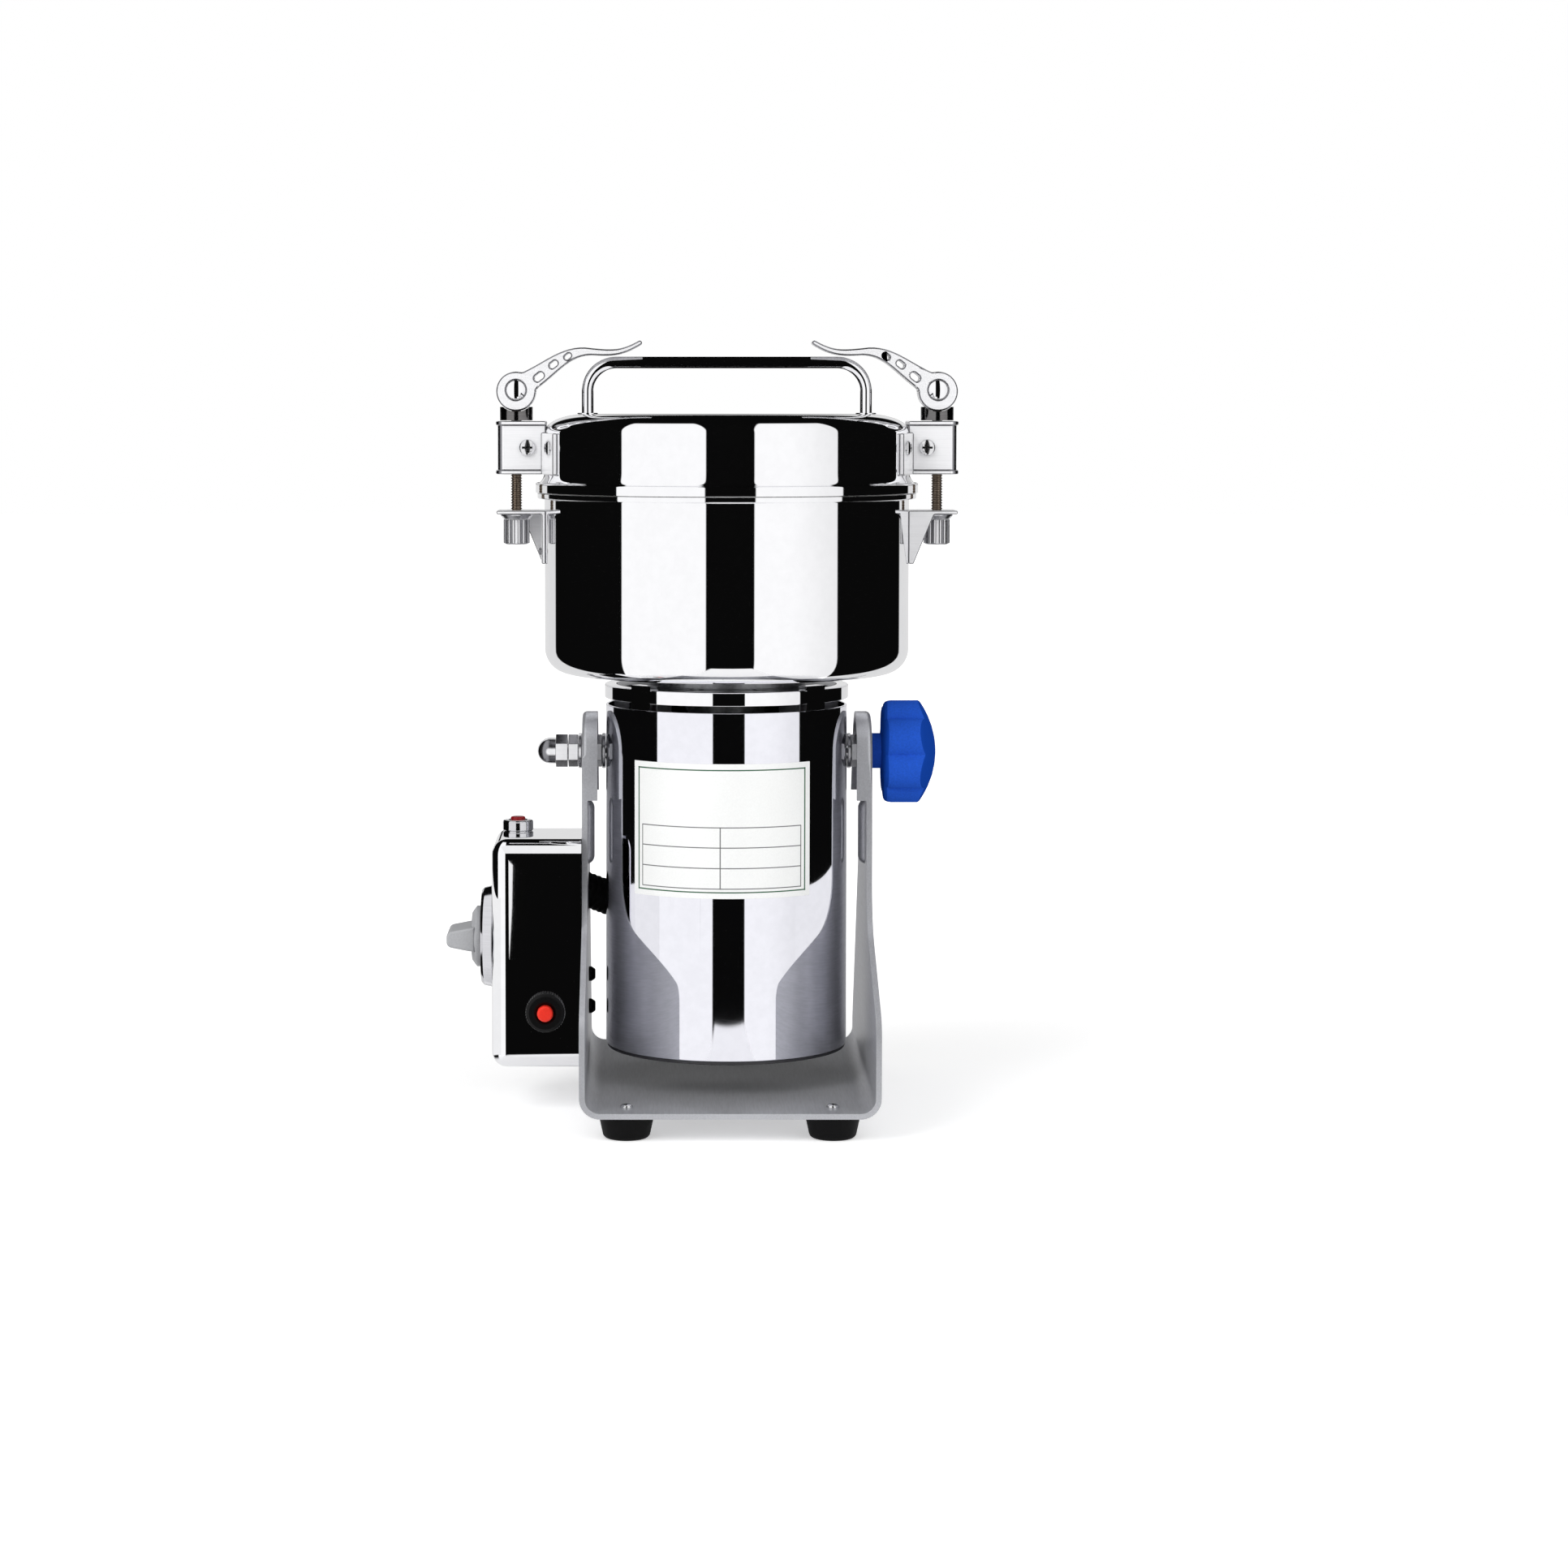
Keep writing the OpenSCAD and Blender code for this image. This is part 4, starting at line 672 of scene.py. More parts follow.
@dataclass
class Repeat:
    """Copies of one item, set out by Geometry Nodes.

    Fields: the layout, the number of copies, the ring's radius or the stack's step, the spots.
    """

    layout: Layout
    count: int = 1
    span: float = 1.0
    spots: Sequence[Sequence[float]] = ((0.0, 0.0, 0.0),)

    def tree(self) -> bpy.types.NodeTree:
        """Build the tree of this layout once and hand it out."""
        label = "repeat_" + self.layout.value
        if label in bpy.data.node_groups:
            return bpy.data.node_groups[label]
        made = bpy.data.node_groups.new(label, "GeometryNodeTree")
        for name, kind in (("Spots", "Geometry"), ("Count", "Int"), ("Span", "Float"),
                           ("Item", "Object"), ("Finish", "Material")):
            made.interface.new_socket(name, in_out="INPUT", socket_type="NodeSocket" + kind)
        made.interface.new_socket("Copies", in_out="OUTPUT", socket_type="NodeSocketGeometry")
        bench = Bench(made)
        given = bench.node("NodeGroupInput")
        points, count, span, item, finish = (Wire(bench, s) for s in list(given.outputs)[:5])
        turn: Any = (0.0, 0.0, 0.0)
        if self.layout is Layout.RING:
            points = bench.add("GeometryNodeMeshCircle", None, {"Vertices": count, "Radius": span})
            x, y, _ = bench.split(bench.add("GeometryNodeInputPosition"))
            turn = bench.add("ShaderNodeCombineXYZ", None, {2: y.maths("ARCTAN2", x)})
        elif self.layout is Layout.STACK:
            step = bench.add("ShaderNodeCombineXYZ", None, {2: span})
            points = bench.add("GeometryNodeMeshLine", None, {"Count": count, "Offset": step})
        item = bench.add("GeometryNodeObjectInfo", None, {0: item}, "Geometry")
        copies = bench.add("GeometryNodeInstanceOnPoints", None,
                           {"Points": points, "Instance": item, "Rotation": turn})
        solid = bench.add("GeometryNodeRealizeInstances", None, {0: copies})
        dressed = bench.add("GeometryNodeSetMaterial", None, {0: solid, "Material": finish})
        bench.node("NodeGroupOutput", None, {0: dressed})
        return made

    def mesh(self, item: Mesh, finish: Finish, place: Matrix = FLAT) -> Mesh:
        """Set out copies of an item.

        Args:
            item: The mesh that is copied.
            finish: Its finish.
            place: Where the whole set goes.

        Returns:
            One mesh with all the copies.
        """
        spots = bpy.data.meshes.new("spots")
        spots.from_pydata([Vector(s) * MM for s in self.spots], [], [])
        host = placed("repeat_host", spots)
        sample = bpy.data.objects.new("repeat_item", item)
        values = {"Count": self.count, "Span": self.span * MM, "Item": sample,
                  "Finish": finish.material()}
        modifier = host.modifiers.new("copies", "NODES")
        modifier.node_group = self.tree()
        for socket in modifier.node_group.interface.items_tree:
            if socket.name in values:
                modifier[socket.identifier] = values[socket.name]
        made = evaluated(host)
        bpy.data.objects.remove(sample)
        return moved(made, place)


class Assembly:
    """Base of the sub-assemblies: adds finished pieces and reports them."""

    body: str = ""

    def add(self, name: str, meshes: Sequence[Mesh], finish: Finish, *nodes: str,
            body: str = "") -> bpy.types.Object:
        """Add a piece that rides on a body.

        Args:
            name: Name of the piece.
            meshes: Its meshes, which become one.
            finish: Its finish.
            nodes: CAD nodes that it stands for.
            body: The body that carries it, if not the assembly's own.

        Returns:
            The piece.
        """
        data = meshes[0] if len(meshes) == 1 else gathered(meshes)
        data.name = name
        data.materials.clear()
        data.materials.append(finish.material())
        piece = placed(name, data)
        carrier = body or self.body
        if carrier:
            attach(piece, carrier)
        if nodes:
            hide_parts(*nodes)
        LOG.info("%s: %d faces on %s", name, len(data.polygons), carrier or "its blend")
        return piece

    def dress(self, finish: Finish, *nodes: str) -> None:
        """Give CAD nodes that stay as they are their finish.

        Args:
            finish: The finish.
            nodes: The nodes.
        """
        for node in nodes:
            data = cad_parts[node].data
            data.materials.clear()
            data.materials.append(finish.material())
            LOG.info("%s keeps its CAD shape", node)

    def refine(self, finish: Finish, edge: float, *nodes: str, body: str = "",
               clamp: bool = True) -> None:
        """Replace CAD nodes by merged copies with rounded edges.

        Args:
            finish: Their finish.
            edge: Radius of the rounded edges.
            nodes: The nodes.
            body: The body that carries them, if not the assembly's own.
            clamp: Whether short edges hold the radius back.
        """
        for node in nodes:
            self.add(node + "_finished", [cad_copy(node, edge, clamp=clamp)], finish, node,
                     body=body)


@dataclass
class PanScrew:
    """Pan head screw with a cross recess, its head on z = 0."""

    radius: float = 3.8
    height: float = 2.4

    def mesh(self) -> Mesh:
        """Turn the head and cut the cross recess."""
        r, h = self.radius, self.height
        dome = [math.radians(6 * k) for k in range(1, 15)]
        head = [(0, -0.4), (r, -0.4), (r, 0.25 * h)]
        head += [(r * math.cos(a) ** 0.8, h * (0.25 + 0.75 * math.sin(a))) for a in dome]
        host = placed("screw_head", Shape().lathe(head + [(0, h)], steps=40, shut=False).mesh())
        arm, half = 0.62 * r, 0.13 * r
        quarter = [(arm, -half), (arm, half), (half, half)]
        cross = quarter + [(-y, x) for x, y in quarter] + [(-x, -y) for x, y in quarter]
        cross += [(y, -x) for x, y in quarter]
        tool = placed("screw_tool", Shape().prism(cross, 0.45 * h, 2 * h, 0.02).mesh())
        host.modifiers.new("recess", "BOOLEAN").object = tool
        mesh = evaluated(host)
        bpy.data.objects.remove(tool)
        mesh.set_sharp_from_angle(angle=math.radians(SHARP))
        return mesh


@dataclass
class Stand(Assembly):
    """Bent sheet stand with its feet, foot screws and the box's screw heads."""

    body: str = "stand"
    foot_x: float = 45.0
    foot_y: float = 76.0
    foot_h: float = 10.5
    top: float = 13.0
    arm: float = 63.0
    sheet: float = 2.5
    rim_z: float = 141.5
    soft: float = 2.2
    box_screw: Point = (19.0, 56.5)

    def build(self) -> None:
        """Build and dress the stand."""
        sheet = cad_copy("stand_bracket", 0.5, self.soft,
                         lambda p: abs(p.x) > self.arm + self.sheet - 0.01 and p.z > self.rim_z)
        self.add("stand_formed", [sheet], SATIN, "stand_bracket")
        feet = [(x, y, 0) for x in (-self.foot_x, self.foot_x) for y in (-self.foot_y, self.foot_y)]
        foot = Shape().turn([(0, 0, 0), (2.6, 0, 0), (10, 0, 2.4), (12, self.foot_h - 1.2, 0.5),
                             (12, self.foot_h, 0.3), (0, self.foot_h, 0)], steps=64).mesh()
        spots = Repeat(Layout.SPOTS, spots=feet)
        self.add("rubber_feet_moulded", [spots.mesh(foot, RUBBER)], RUBBER, "rubber_feet")
        heads = Repeat(Layout.SPOTS, spots=[(x, y, self.top) for x, y, _ in feet])
        self.add("foot_screw_heads", [heads.mesh(PanScrew(2.8, 1.7).mesh(), BRIGHT)], BRIGHT,
                 "foot_screws")
        dome = Shape().turn([(0, -0.3, 0), (3.4, -0.3, 0.2), (3.4, 1.2, 0.8), (2.2, 3.0, 1.0),
                             (0, 3.0, 0)], steps=40).mesh()
        domes = Repeat(Layout.SPOTS, spots=[(-15, 0, 0), (0, 0, 0)])
        place = axes((-self.arm, *self.box_screw), (0, 0, 1), (0, 1, 0))
        place = place @ Matrix.Diagonal((1, 1, -1, 1))
        self.add("box_screw_domes", [domes.mesh(dome, BLACK, place)], BLACK, "box_screws")


@dataclass
class ControlBox(Assembly):
    """Control box with its timer dial, buttons and cord gland."""

    body: str = "stand"
    near: float = -65.6
    far: float = -106.1
    half: float = 27.5
    low: float = 20.7
    high: float = 124.0
    round: float = 7.0
    wall: float = 1.2
    dial_z: float = 77.0
    knob_x: float = -111.9
    button: Point = (-94.56, -10.0)
    reset: Point = (-81.8, 46.7)

    def build(self) -> None:
        """Build and dress the control box."""
        self.add("control_box_polished", [self.shell()], MIRROR, "control_box_shell")
        self.timer()
        self.buttons()
        self.refine(BLACK, 0.35, "cord_gland")
        self.dress(BLACK, "power_switch", "overload_breaker")
        self.dress(DARK_PAINT, "timer_mechanism")
        self.dress(BRIGHT, "timer_spindle")

    def shell(self) -> Mesh:
        """Build the box with its rounded edges, open toward the arm."""
        middle, rise = (self.low + self.high) / 2, (self.high - self.low) / 2
        outline = soften([(self.half * y, rise * z, self.round)
                          for y, z in ((1, -1), (1, 1), (-1, 1), (-1, -1))])
        place = axes((self.near, 0, middle), (0, 1, 0), (0, 0, -1))
        rings = self.layer(outline, self.wall)[::-1] + self.layer(outline, 0.0)
        return Shape().skin(rings, place).mesh(38)

    def layer(self, outline: Sequence[Point], under: float) -> list[list[Vector]]:
        """Draw one side of the box's wall.

        Args:
            outline: Outline of the box seen from its end.
            under: How far the side lies under the outside.

        Returns:
            Rings from the open side to the closed end.
        """
        depth, bend = self.near - self.far, self.round - under
        rows = [(under, 0.0), (under, depth - self.round - 1)]
        rows += [(under + bend * (1 - math.cos(a)), depth - under - bend * (1 - math.sin(a)))
                 for a in (math.radians(7.5 * i) for i in range(12))]
        rows.append((self.round * 0.996, depth - under))
        rings = [[Vector((y, -z, w)) for y, z in Shape.drawn_in(outline, inset)]
                 for inset, w in rows]
        return rings + [[Vector((p.x * 0.96, p.y * 0.98, p.z)) for p in rings[-1]]]

    def timer(self) -> None:
        """Build the dial with its marks and the turning knob."""
        out, front = (axes((x, 0, self.dial_z), (0, 1, 0), (0, 0, 1))
                      @ Matrix.Rotation(math.pi, 4, "Y") for x in (self.far, self.knob_x))
        dial = Shape().turn([(5.6, 0, 0.1), (23.3, 0, 0.3), (22.3, 4.2, 1.0), (21.1, 5.4, 0.6),
                             (20.3, 5.4, 0.3), (20.3, 2.4, 0.4), (5.6, 2.4, 0.2)], out, 96)
        self.add("timer_bezel", [dial.mesh()], BEZEL, "timer_dial")
        bar = [(-1.3, -0.25), (1.3, -0.25), (1.3, 0.25), (-1.3, 0.25)]
        mark = Shape().prism(bar, 2.3, 2.5, 0.05).mesh()
        self.add("timer_marks", [Repeat(Layout.RING, 24, 17.4).mesh(mark, INK, out)], INK)
        knob = Shape().turn([(3.1, 0, 0.1), (13.9, 0, 0.4), (13.9, 1.8, 0.8), (10.9, 4, 1.0),
                             (3.1, 4, 0.1)], front, 72)
        grip = soften([(-5.65, 2.5, 0), (5.65, 2.5, 0), (5.3, 5.2, 2.0), (3.3, 15.2, 2.6),
                       (-3.3, 15.2, 2.6), (-5.3, 5.2, 2.0)])
        lying = axes((self.knob_x, 0, self.dial_z), (0, 0, -1), (-1, 0, 0))
        knob.prism(grip, -12.9, 12.9, 1.1, lying)
        self.add("timer_knob_moulded", [knob.mesh(40)], GREY, "timer_knob", body="timer_knob")

    def buttons(self) -> None:
        """Build the power button and the reset button with their rings."""
        at = Matrix.Translation((*self.button, self.high))
        collar = Shape().turn([(3.45, 0, 0.1), (7, 0, 0.3), (7, 2.0, 0.4), (6.5, 2.3, 0.2),
                               (6.5, 2.9, 0.2), (7, 3.2, 0.4), (7, 7.6, 1.0), (4.4, 7.6, 0.4),
                               (3.45, 6.9, 0.2)], at, 72)
        self.add("power_collar", [collar.mesh()], BEZEL, "button_collar")
        cap = Shape().turn([(0, -6, 0), (3.35, -6, 0.1), (3.35, 9.1, 0.8), (0, 9.1, 0)], at)
        self.add("power_cap", [cap.mesh()], DARK_RED, "power_button", body="power_button")
        out = axes((self.reset[0], -self.half, self.reset[1]), (1, 0, 0), (0, 0, 1))
        ring = Shape().turn([(3.7, 0, 0.1), (8.7, 0, 0.2), (8.7, 3.4, 0.6), (7.4, 4, 0.4),
                             (5, 4, 0.4), (3.7, 3.2, 0.2)], out, 72)
        ridge = Shape().prism([(-0.3, -0.35), (0.3, 0), (-0.3, 0.35)], 0.3, 3.3, 0.05).mesh()
        knurl = Repeat(Layout.RING, 48, 8.7).mesh(ridge, BLACK, out)
        self.add("reset_ring", [ring.mesh(), knurl], BLACK, "reset_collar")
        cap = Shape().turn([(0, -6, 0), (3.6, -6, 0.1), (3.6, 6.9, 1.2), (0, 6.9, 0)], out)
        self.add("reset_cap", [cap.mesh()], RED, "reset_button", body="reset_button")


@dataclass
class MotorUnit(Assembly):
    """Motor housing with its collar, neck, plate, pivot parts and the motor inside."""

    body: str = "grinder_body"
    radius: float = 54.8
    wall: float = 1.2
    low: float = 29.0
    high: float = 183.7
    cover: float = 27.5
    ring_r: float = 55.3
    plate_turn: float = -4.0
    plate_half: float = 45.0
    plate_low: float = 101.6
    plate_high: float = 161.3

    def build(self) -> None:
        """Build and dress the motor unit."""
        r, inner = self.radius, self.radius - self.wall
        tube = Shape().turn([(r, self.low, 0.4), (r, self.high, 0.4), (inner, self.high, 0.3),
                             (inner, self.low, 0.3)], steps=192)
        self.add("motor_housing_polished", [tube.mesh()], MIRROR_PAINTED_TINT, "motor_housing")
        self.collar()
        self.plate()
        self.refine(ALLOY, 0.4, "upper_end_shield")
        self.refine(BRIGHT, 0.25, "pivot_stud")
        self.refine(PALE_PAINTED_REFLECTION, 0.35, "hex_nuts", "cap_nut")
        self.refine(DARK_PAINT, 0.3, "bottom_cover")
        under = Matrix.Translation((0, 0, self.cover)) @ Matrix.Rotation(math.pi, 4, "X")
        heads = Repeat(Layout.RING, 3, 40).mesh(PanScrew().mesh(), BRIGHT,
                                                under @ Matrix.Rotation(-math.pi / 2, 4, "Z"))
        self.add("cover_screw_heads", [heads], BRIGHT, "cover_screws")
        self.dress(ALLOY, "lower_end_shield")
        self.dress(LAMINATION, "stator_core", "armature_core")
        self.dress(COPPER, "field_coils", "armature_winding")
        self.dress(BRIGHT, "motor_bearings", "motor_shaft")
        self.dress(BRASS, "brush_holders", "commutator")
        self.dress(CARBON, "carbon_brushes")
        self.dress(BLACK, "cooling_fan")
        self.dress(RUBBER, "shaft_seal")
        self.refine(BRIGHT, 0.3, "main_blade", "upper_blade", "blade_nut", body="rotor")

    def collar(self) -> None:
        """Build the collar with its tabs."""
        r = self.ring_r
        parts = [Shape().turn([(50, 186.7, 0.2), (r, 186.7, 0.4), (r, 192.9, 0.7),
                               (50, 192.9, 0.2)], steps=192).mesh()]
        stations = [Matrix.Rotation(math.radians(a), 4, "Z") @ axes((0, 0, 0), (1, 0, 0), (0, 0, 1))
                    for a in (-6.2, -4, -2, 0, 2, 4, 6.2)]
        for low, high, inner in ((183.7, 187.2, 53.5), (192.2, 194.7, 50)):
            tab = Shape().sweep(soften([(inner, low, 0.2), (r, low, 0.2), (r, high, 0.3),
                                        (inner, high, 0.2)]), stations)
            tab.points = [p - Vector((r, 0, 0)) for p in tab.points]
            parts.append(Repeat(Layout.RING, 4, r).mesh(tab.mesh(), MIRROR,
                                                        Matrix.Rotation(math.pi / 4, 4, "Z")))
        self.add("motor_collar_polished", parts, MIRROR, "motor_collar")

    def plate(self) -> None:
        """Build the bare curved plate on the front of the housing."""
        stations = []
        for k in range(33):
            a = math.radians(self.plate_turn + self.plate_half * (k / 16 - 1))
            stations.append(axes((0, 0, 0), (math.sin(a), -math.cos(a), 0), (0, 0, 1)))
        r, low, high = self.radius + 0.02, self.plate_low, self.plate_high
        loop = soften([(r, low, 0), (r + 0.25, low, 0.08), (r + 0.25, high, 0.08), (r, high, 0)])
        finish = Plate("grey_plastic", (252, 253, 252), 0.0, 0.32, Grain.MOULDED, 0.04, 2.0, 0.98,
                       name="white_plate", turn=math.radians(self.plate_turn),
                       half=math.radians(self.plate_half), middle=(low + high) / 2 * MM,
                       height=(high - low) / 2 * MM)
        self.add("motor_plate", [Shape().sweep(loop, stations).mesh()], finish)


@dataclass
class Bowl(Assembly):
    """Grinding bowl with its clamp shelves, thumb nuts and screws."""

    body: str = "grinder_body"
    radius: float = 82.5
    wall: float = 1.5
    low: float = 198.0
    high: float = 279.5
    corner: float = 11.0
    rim: float = 85.7
    bore: float = 9.1
    nut_x: float = 95.3
    nut_z: float = 256.1

    def build(self) -> None:
        """Build and dress the bowl."""
        r, inner, floor = self.radius, self.radius - self.wall, self.low + self.wall
        bowl = Shape().turn([(self.bore, self.low, 0.2), (r, self.low, self.corner),
                             (r, self.high - 2.5, 0.5), (self.rim, self.high - 2.5, 0.6),
                             (self.rim, self.high, 0.3), (inner, self.high, 0.6),
                             (inner, floor, self.corner - self.wall),
                             (self.bore, floor, 0.2)], steps=192)
        self.add("grinding_bowl_polished", [bowl.mesh()], MIRROR, "grinding_bowl")
        self.refine(PALE_PAINTED_REFLECTION, 0.5, "clamp_shelves", clamp=False)
        nuts = [self.thumb_nut(x) for x in (-self.nut_x, self.nut_x)]
        self.add("thumb_nuts_fluted", nuts, PALE_PAINTED_REFLECTION, "thumb_nuts")
        heads = Repeat(Layout.RING, 4, 27).mesh(PanScrew(4.5, 2.4).mesh(), BRIGHT,
                                                Matrix.Translation((0, 0, floor)))
        self.add("bowl_screw_heads", [heads], BRIGHT, "bowl_screws")

    def thumb_nut(self, x: float) -> Mesh:
        """Build a thumb nut with its ridges.

        Args:
            x: Where the nut stands.

        Returns:
            Its mesh.
        """
        at = Matrix.Translation((x, 0, self.nut_z))
        nut = Shape().turn([(0, 0, 0), (5.3, 0, 0.5), (5.3, 11.2, 0.3), (6.2, 11.6, 0.3),
                            (7.4, 13.0, 0.4), (7.4, 13.7, 0.3), (2.7, 13.7, 0.1),
                            (2.7, 2.4, 0.1), (0, 2.4, 0)], at)
        ridge = Shape().prism([(-0.6, -0.8), (0.3, -0.7), (0.6, -0.3), (0.6, 0.3), (0.3, 0.7),
                               (-0.6, 0.8)], 0.4, 11.4, 0.25).mesh()
        return gathered([nut.mesh(), Repeat(Layout.RING, 14, 5.3).mesh(ridge, BRIGHT, at)])


@dataclass
class Lid(Assembly):
    """Lid with its gasket, handle, clamp brackets and their screws."""

    body: str = "lid"
    radius: float = 82.5
    wall: float = 1.5
    low: float = 280.5
    high: float = 315.0
    rim: float = 86.5
    rim_h: float = 3.5
    lip: float = 0.8
    shoulder: Point = (19.0, 8.0)
    flare: Point = (3.0, 6.0)
    handle_x: float = 63.0
    handle_top: float = 338.35
    handle_bend: float = 13.0
    rod: float = 2.65
    screw_z: float = 300.0
    screw_r: float = 84.4

    def build(self) -> None:
        """Build and dress the lid."""
        self.add("lid_polished", [self.shell()], MIRROR, "lid")
        seal = Shape().turn([(80.6, 279.6, 0.2), (85.3, 279.6, 0.3), (85.3, self.low, 0.3),
                             (80.6, self.low, 0.2)], steps=160)
        self.add("lid_seal", [seal.mesh()], SILICONE, "lid_gasket")
        self.handle()
        self.refine(PALE_PAINTED_REFLECTION, 0.5, "lid_brackets", clamp=False)
        self.screws()

    def shell(self) -> Mesh:
        """Turn the lid from its outer and inner contour."""
        wide, tall = self.shoulder
        inner, turn = self.radius - self.wall, self.radius - wide
        arc = [math.radians(90 - 90 * k / 20) for k in range(21)]
        outside = [(0.0, self.high), (turn - 4, self.high)]
        outside += [(turn + wide * math.cos(a), self.high - tall + tall * math.sin(a)) for a in arc]
        top, skirt = self.low + self.rim_h, self.low - self.lip
        run, drop = self.flare
        curve = [(self.radius + run * (1 - math.cos(a)), top + drop * (1 - math.sin(a)), 0)
                 for a in reversed(arc)]
        brim = soften([(self.radius, top + 12, 0)] + curve + [
            (self.rim, top, 0.7), (self.rim, skirt, 0.2), (self.rim - 0.5, skirt, 0.15),
            (self.rim - 0.5, self.low, 0.15), (80.3, self.low, 0.2), (80.3, self.low - 5, 0.4),
            (78.8, self.low - 5, 0.4), (78.8, top, 0.3), (inner, top, 0.2),
            (inner, top + 12, 0)], False)
        inside = [(turn + (wide - self.wall) * math.cos(a),
                   self.high - tall + (tall - self.wall) * math.sin(a)) for a in reversed(arc)]
        inside.append((0.0, self.high - self.wall))
        return Shape().lathe(outside + brim + inside, steps=192, shut=False).mesh()

    def handle(self) -> None:
        """Draw the bent rod of the handle and turn its foot flanges."""
        x, bend = self.handle_x, self.handle_bend
        path = [Vector((-x, 0, self.high - 6)), Vector((-x, 0, self.high + 1))]
        for k in range(25):
            a = math.radians(180 - 90 * k / 24)
            path.append(Vector((-x + bend + bend * math.cos(a), 0,
                                self.handle_top - bend + bend * math.sin(a))))
        path += [Vector((-p.x, p.y, p.z)) for p in reversed(path)]
        rod = Shape().tube(path, self.rod, 40)
        for end in (-x, x):
            for z, thick in ((self.high, 0.6), (self.high - self.wall - 1.5, 1.2)):
                rod.turn([(self.rod, z, 0), (4.65, z, 0.1), (4.65, z + thick, 0.25),
                          (self.rod, z + thick, 0)], Matrix.Translation((end, 0, 0)))
        self.add("handle_rod", [rod.mesh()], MIRROR, "lid_handle")

    def screws(self) -> None:
        """Set the screws of the brackets."""
        forward = axes((0, -11, self.screw_z), (1, 0, 0), (0, 0, 1))
        backward = axes((0, 11, self.screw_z), (-1, 0, 0), (0, 0, 1))
        cross = Repeat(Layout.SPOTS, spots=[(-90, 0, 0), (90, 0, 0)])
        nut = Shape().prism(circle(4.39, 6), 0, 2.6, 0.3)
        nut.lathe([(0, 2), (2, 2), (2, 3.0), (1.6, 3.1), (0, 3.1)], steps=24, shut=False)
        parts = [cross.mesh(PanScrew().mesh(), BRIGHT, forward),
                 cross.mesh(nut.mesh(), BRIGHT, backward)]
        small = PanScrew(3.2, 1.9).mesh()
        for turn in (-19, 19, 161, 199):
            cos, sin = math.cos(math.radians(turn)), math.sin(math.radians(turn))
            parts.append(moved(small, axes((self.screw_r * cos, self.screw_r * sin, self.screw_z),
                                           (-sin, cos, 0), (0, 0, 1))))
        self.add("bracket_screw_heads", parts, BRIGHT, "bracket_screws")


@dataclass
class Clamp(Assembly):
    """Cam clamp on one side of the lid."""

    side: str
    x: float
    low: float = 258.6
    high: float = 329.2
    pitch: float = 1.25
    turns: int = 55
    pin_r: float = 4.4
    pin_half: float = 6.6
    pin_dome: float = 34.0
    pin_z: float = 325.9

    def build(self) -> None:
        """Build and dress the clamp."""
        rod, lever = self.side + "_rod", self.side + "_lever"
        core = Shape().turn([(0, self.low, 0), (2.1, self.low, 0.4), (2.1, self.high, 0.4),
                             (0, self.high, 0)], Matrix.Translation((self.x, 0, 0)), 24)
        crest = Shape().lathe([(2.0, -0.5), (2.5, -0.12), (2.5, 0.12), (2.0, 0.5)], steps=24)
        thread = Repeat(Layout.STACK, self.turns, self.pitch).mesh(
            crest.mesh(), THREAD, Matrix.Translation((self.x, 0, self.low + 1.2)))
        self.add(rod + "_threaded", [core.mesh(), thread], THREAD, self.side + "_clamp_rod",
                 body=rod)
        self.refine(DARK_WASHER_PAINTED_REFLECTION, 0.3, self.side + "_cam_washer", body=rod)
        self.pin(rod)
        self.refine(PALE_PAINTED_REFLECTION, 0.9, self.side + "_clamp_lever", body=lever, clamp=False)

    def pin(self, body: str) -> None:
        """Turn the lever pin with its domed ends.

        Args:
            body: The body that carries it.
        """
        end, edge = self.pin_half, math.radians(self.pin_dome)
        ball = self.pin_r / math.sin(edge)
        cap = [(ball * math.sin(a), end - ball + ball * math.cos(a))
               for a in (edge * (1 - k / 10) for k in range(11))]
        cap[-1] = (0.0, end)
        half = [(self.pin_r, 0.0)] + cap
        contour = [(r, -z) for r, z in reversed(half)] + half[1:]
        place = axes((self.x, 0, self.pin_z), (1, 0, 0), (0, 0, 1))
        mesh = Shape().lathe(contour, place, 48, False).mesh(40)
        self.add(self.side + "_pin_domed", [mesh], MIRROR, self.side + "_lever_pin", body=body)


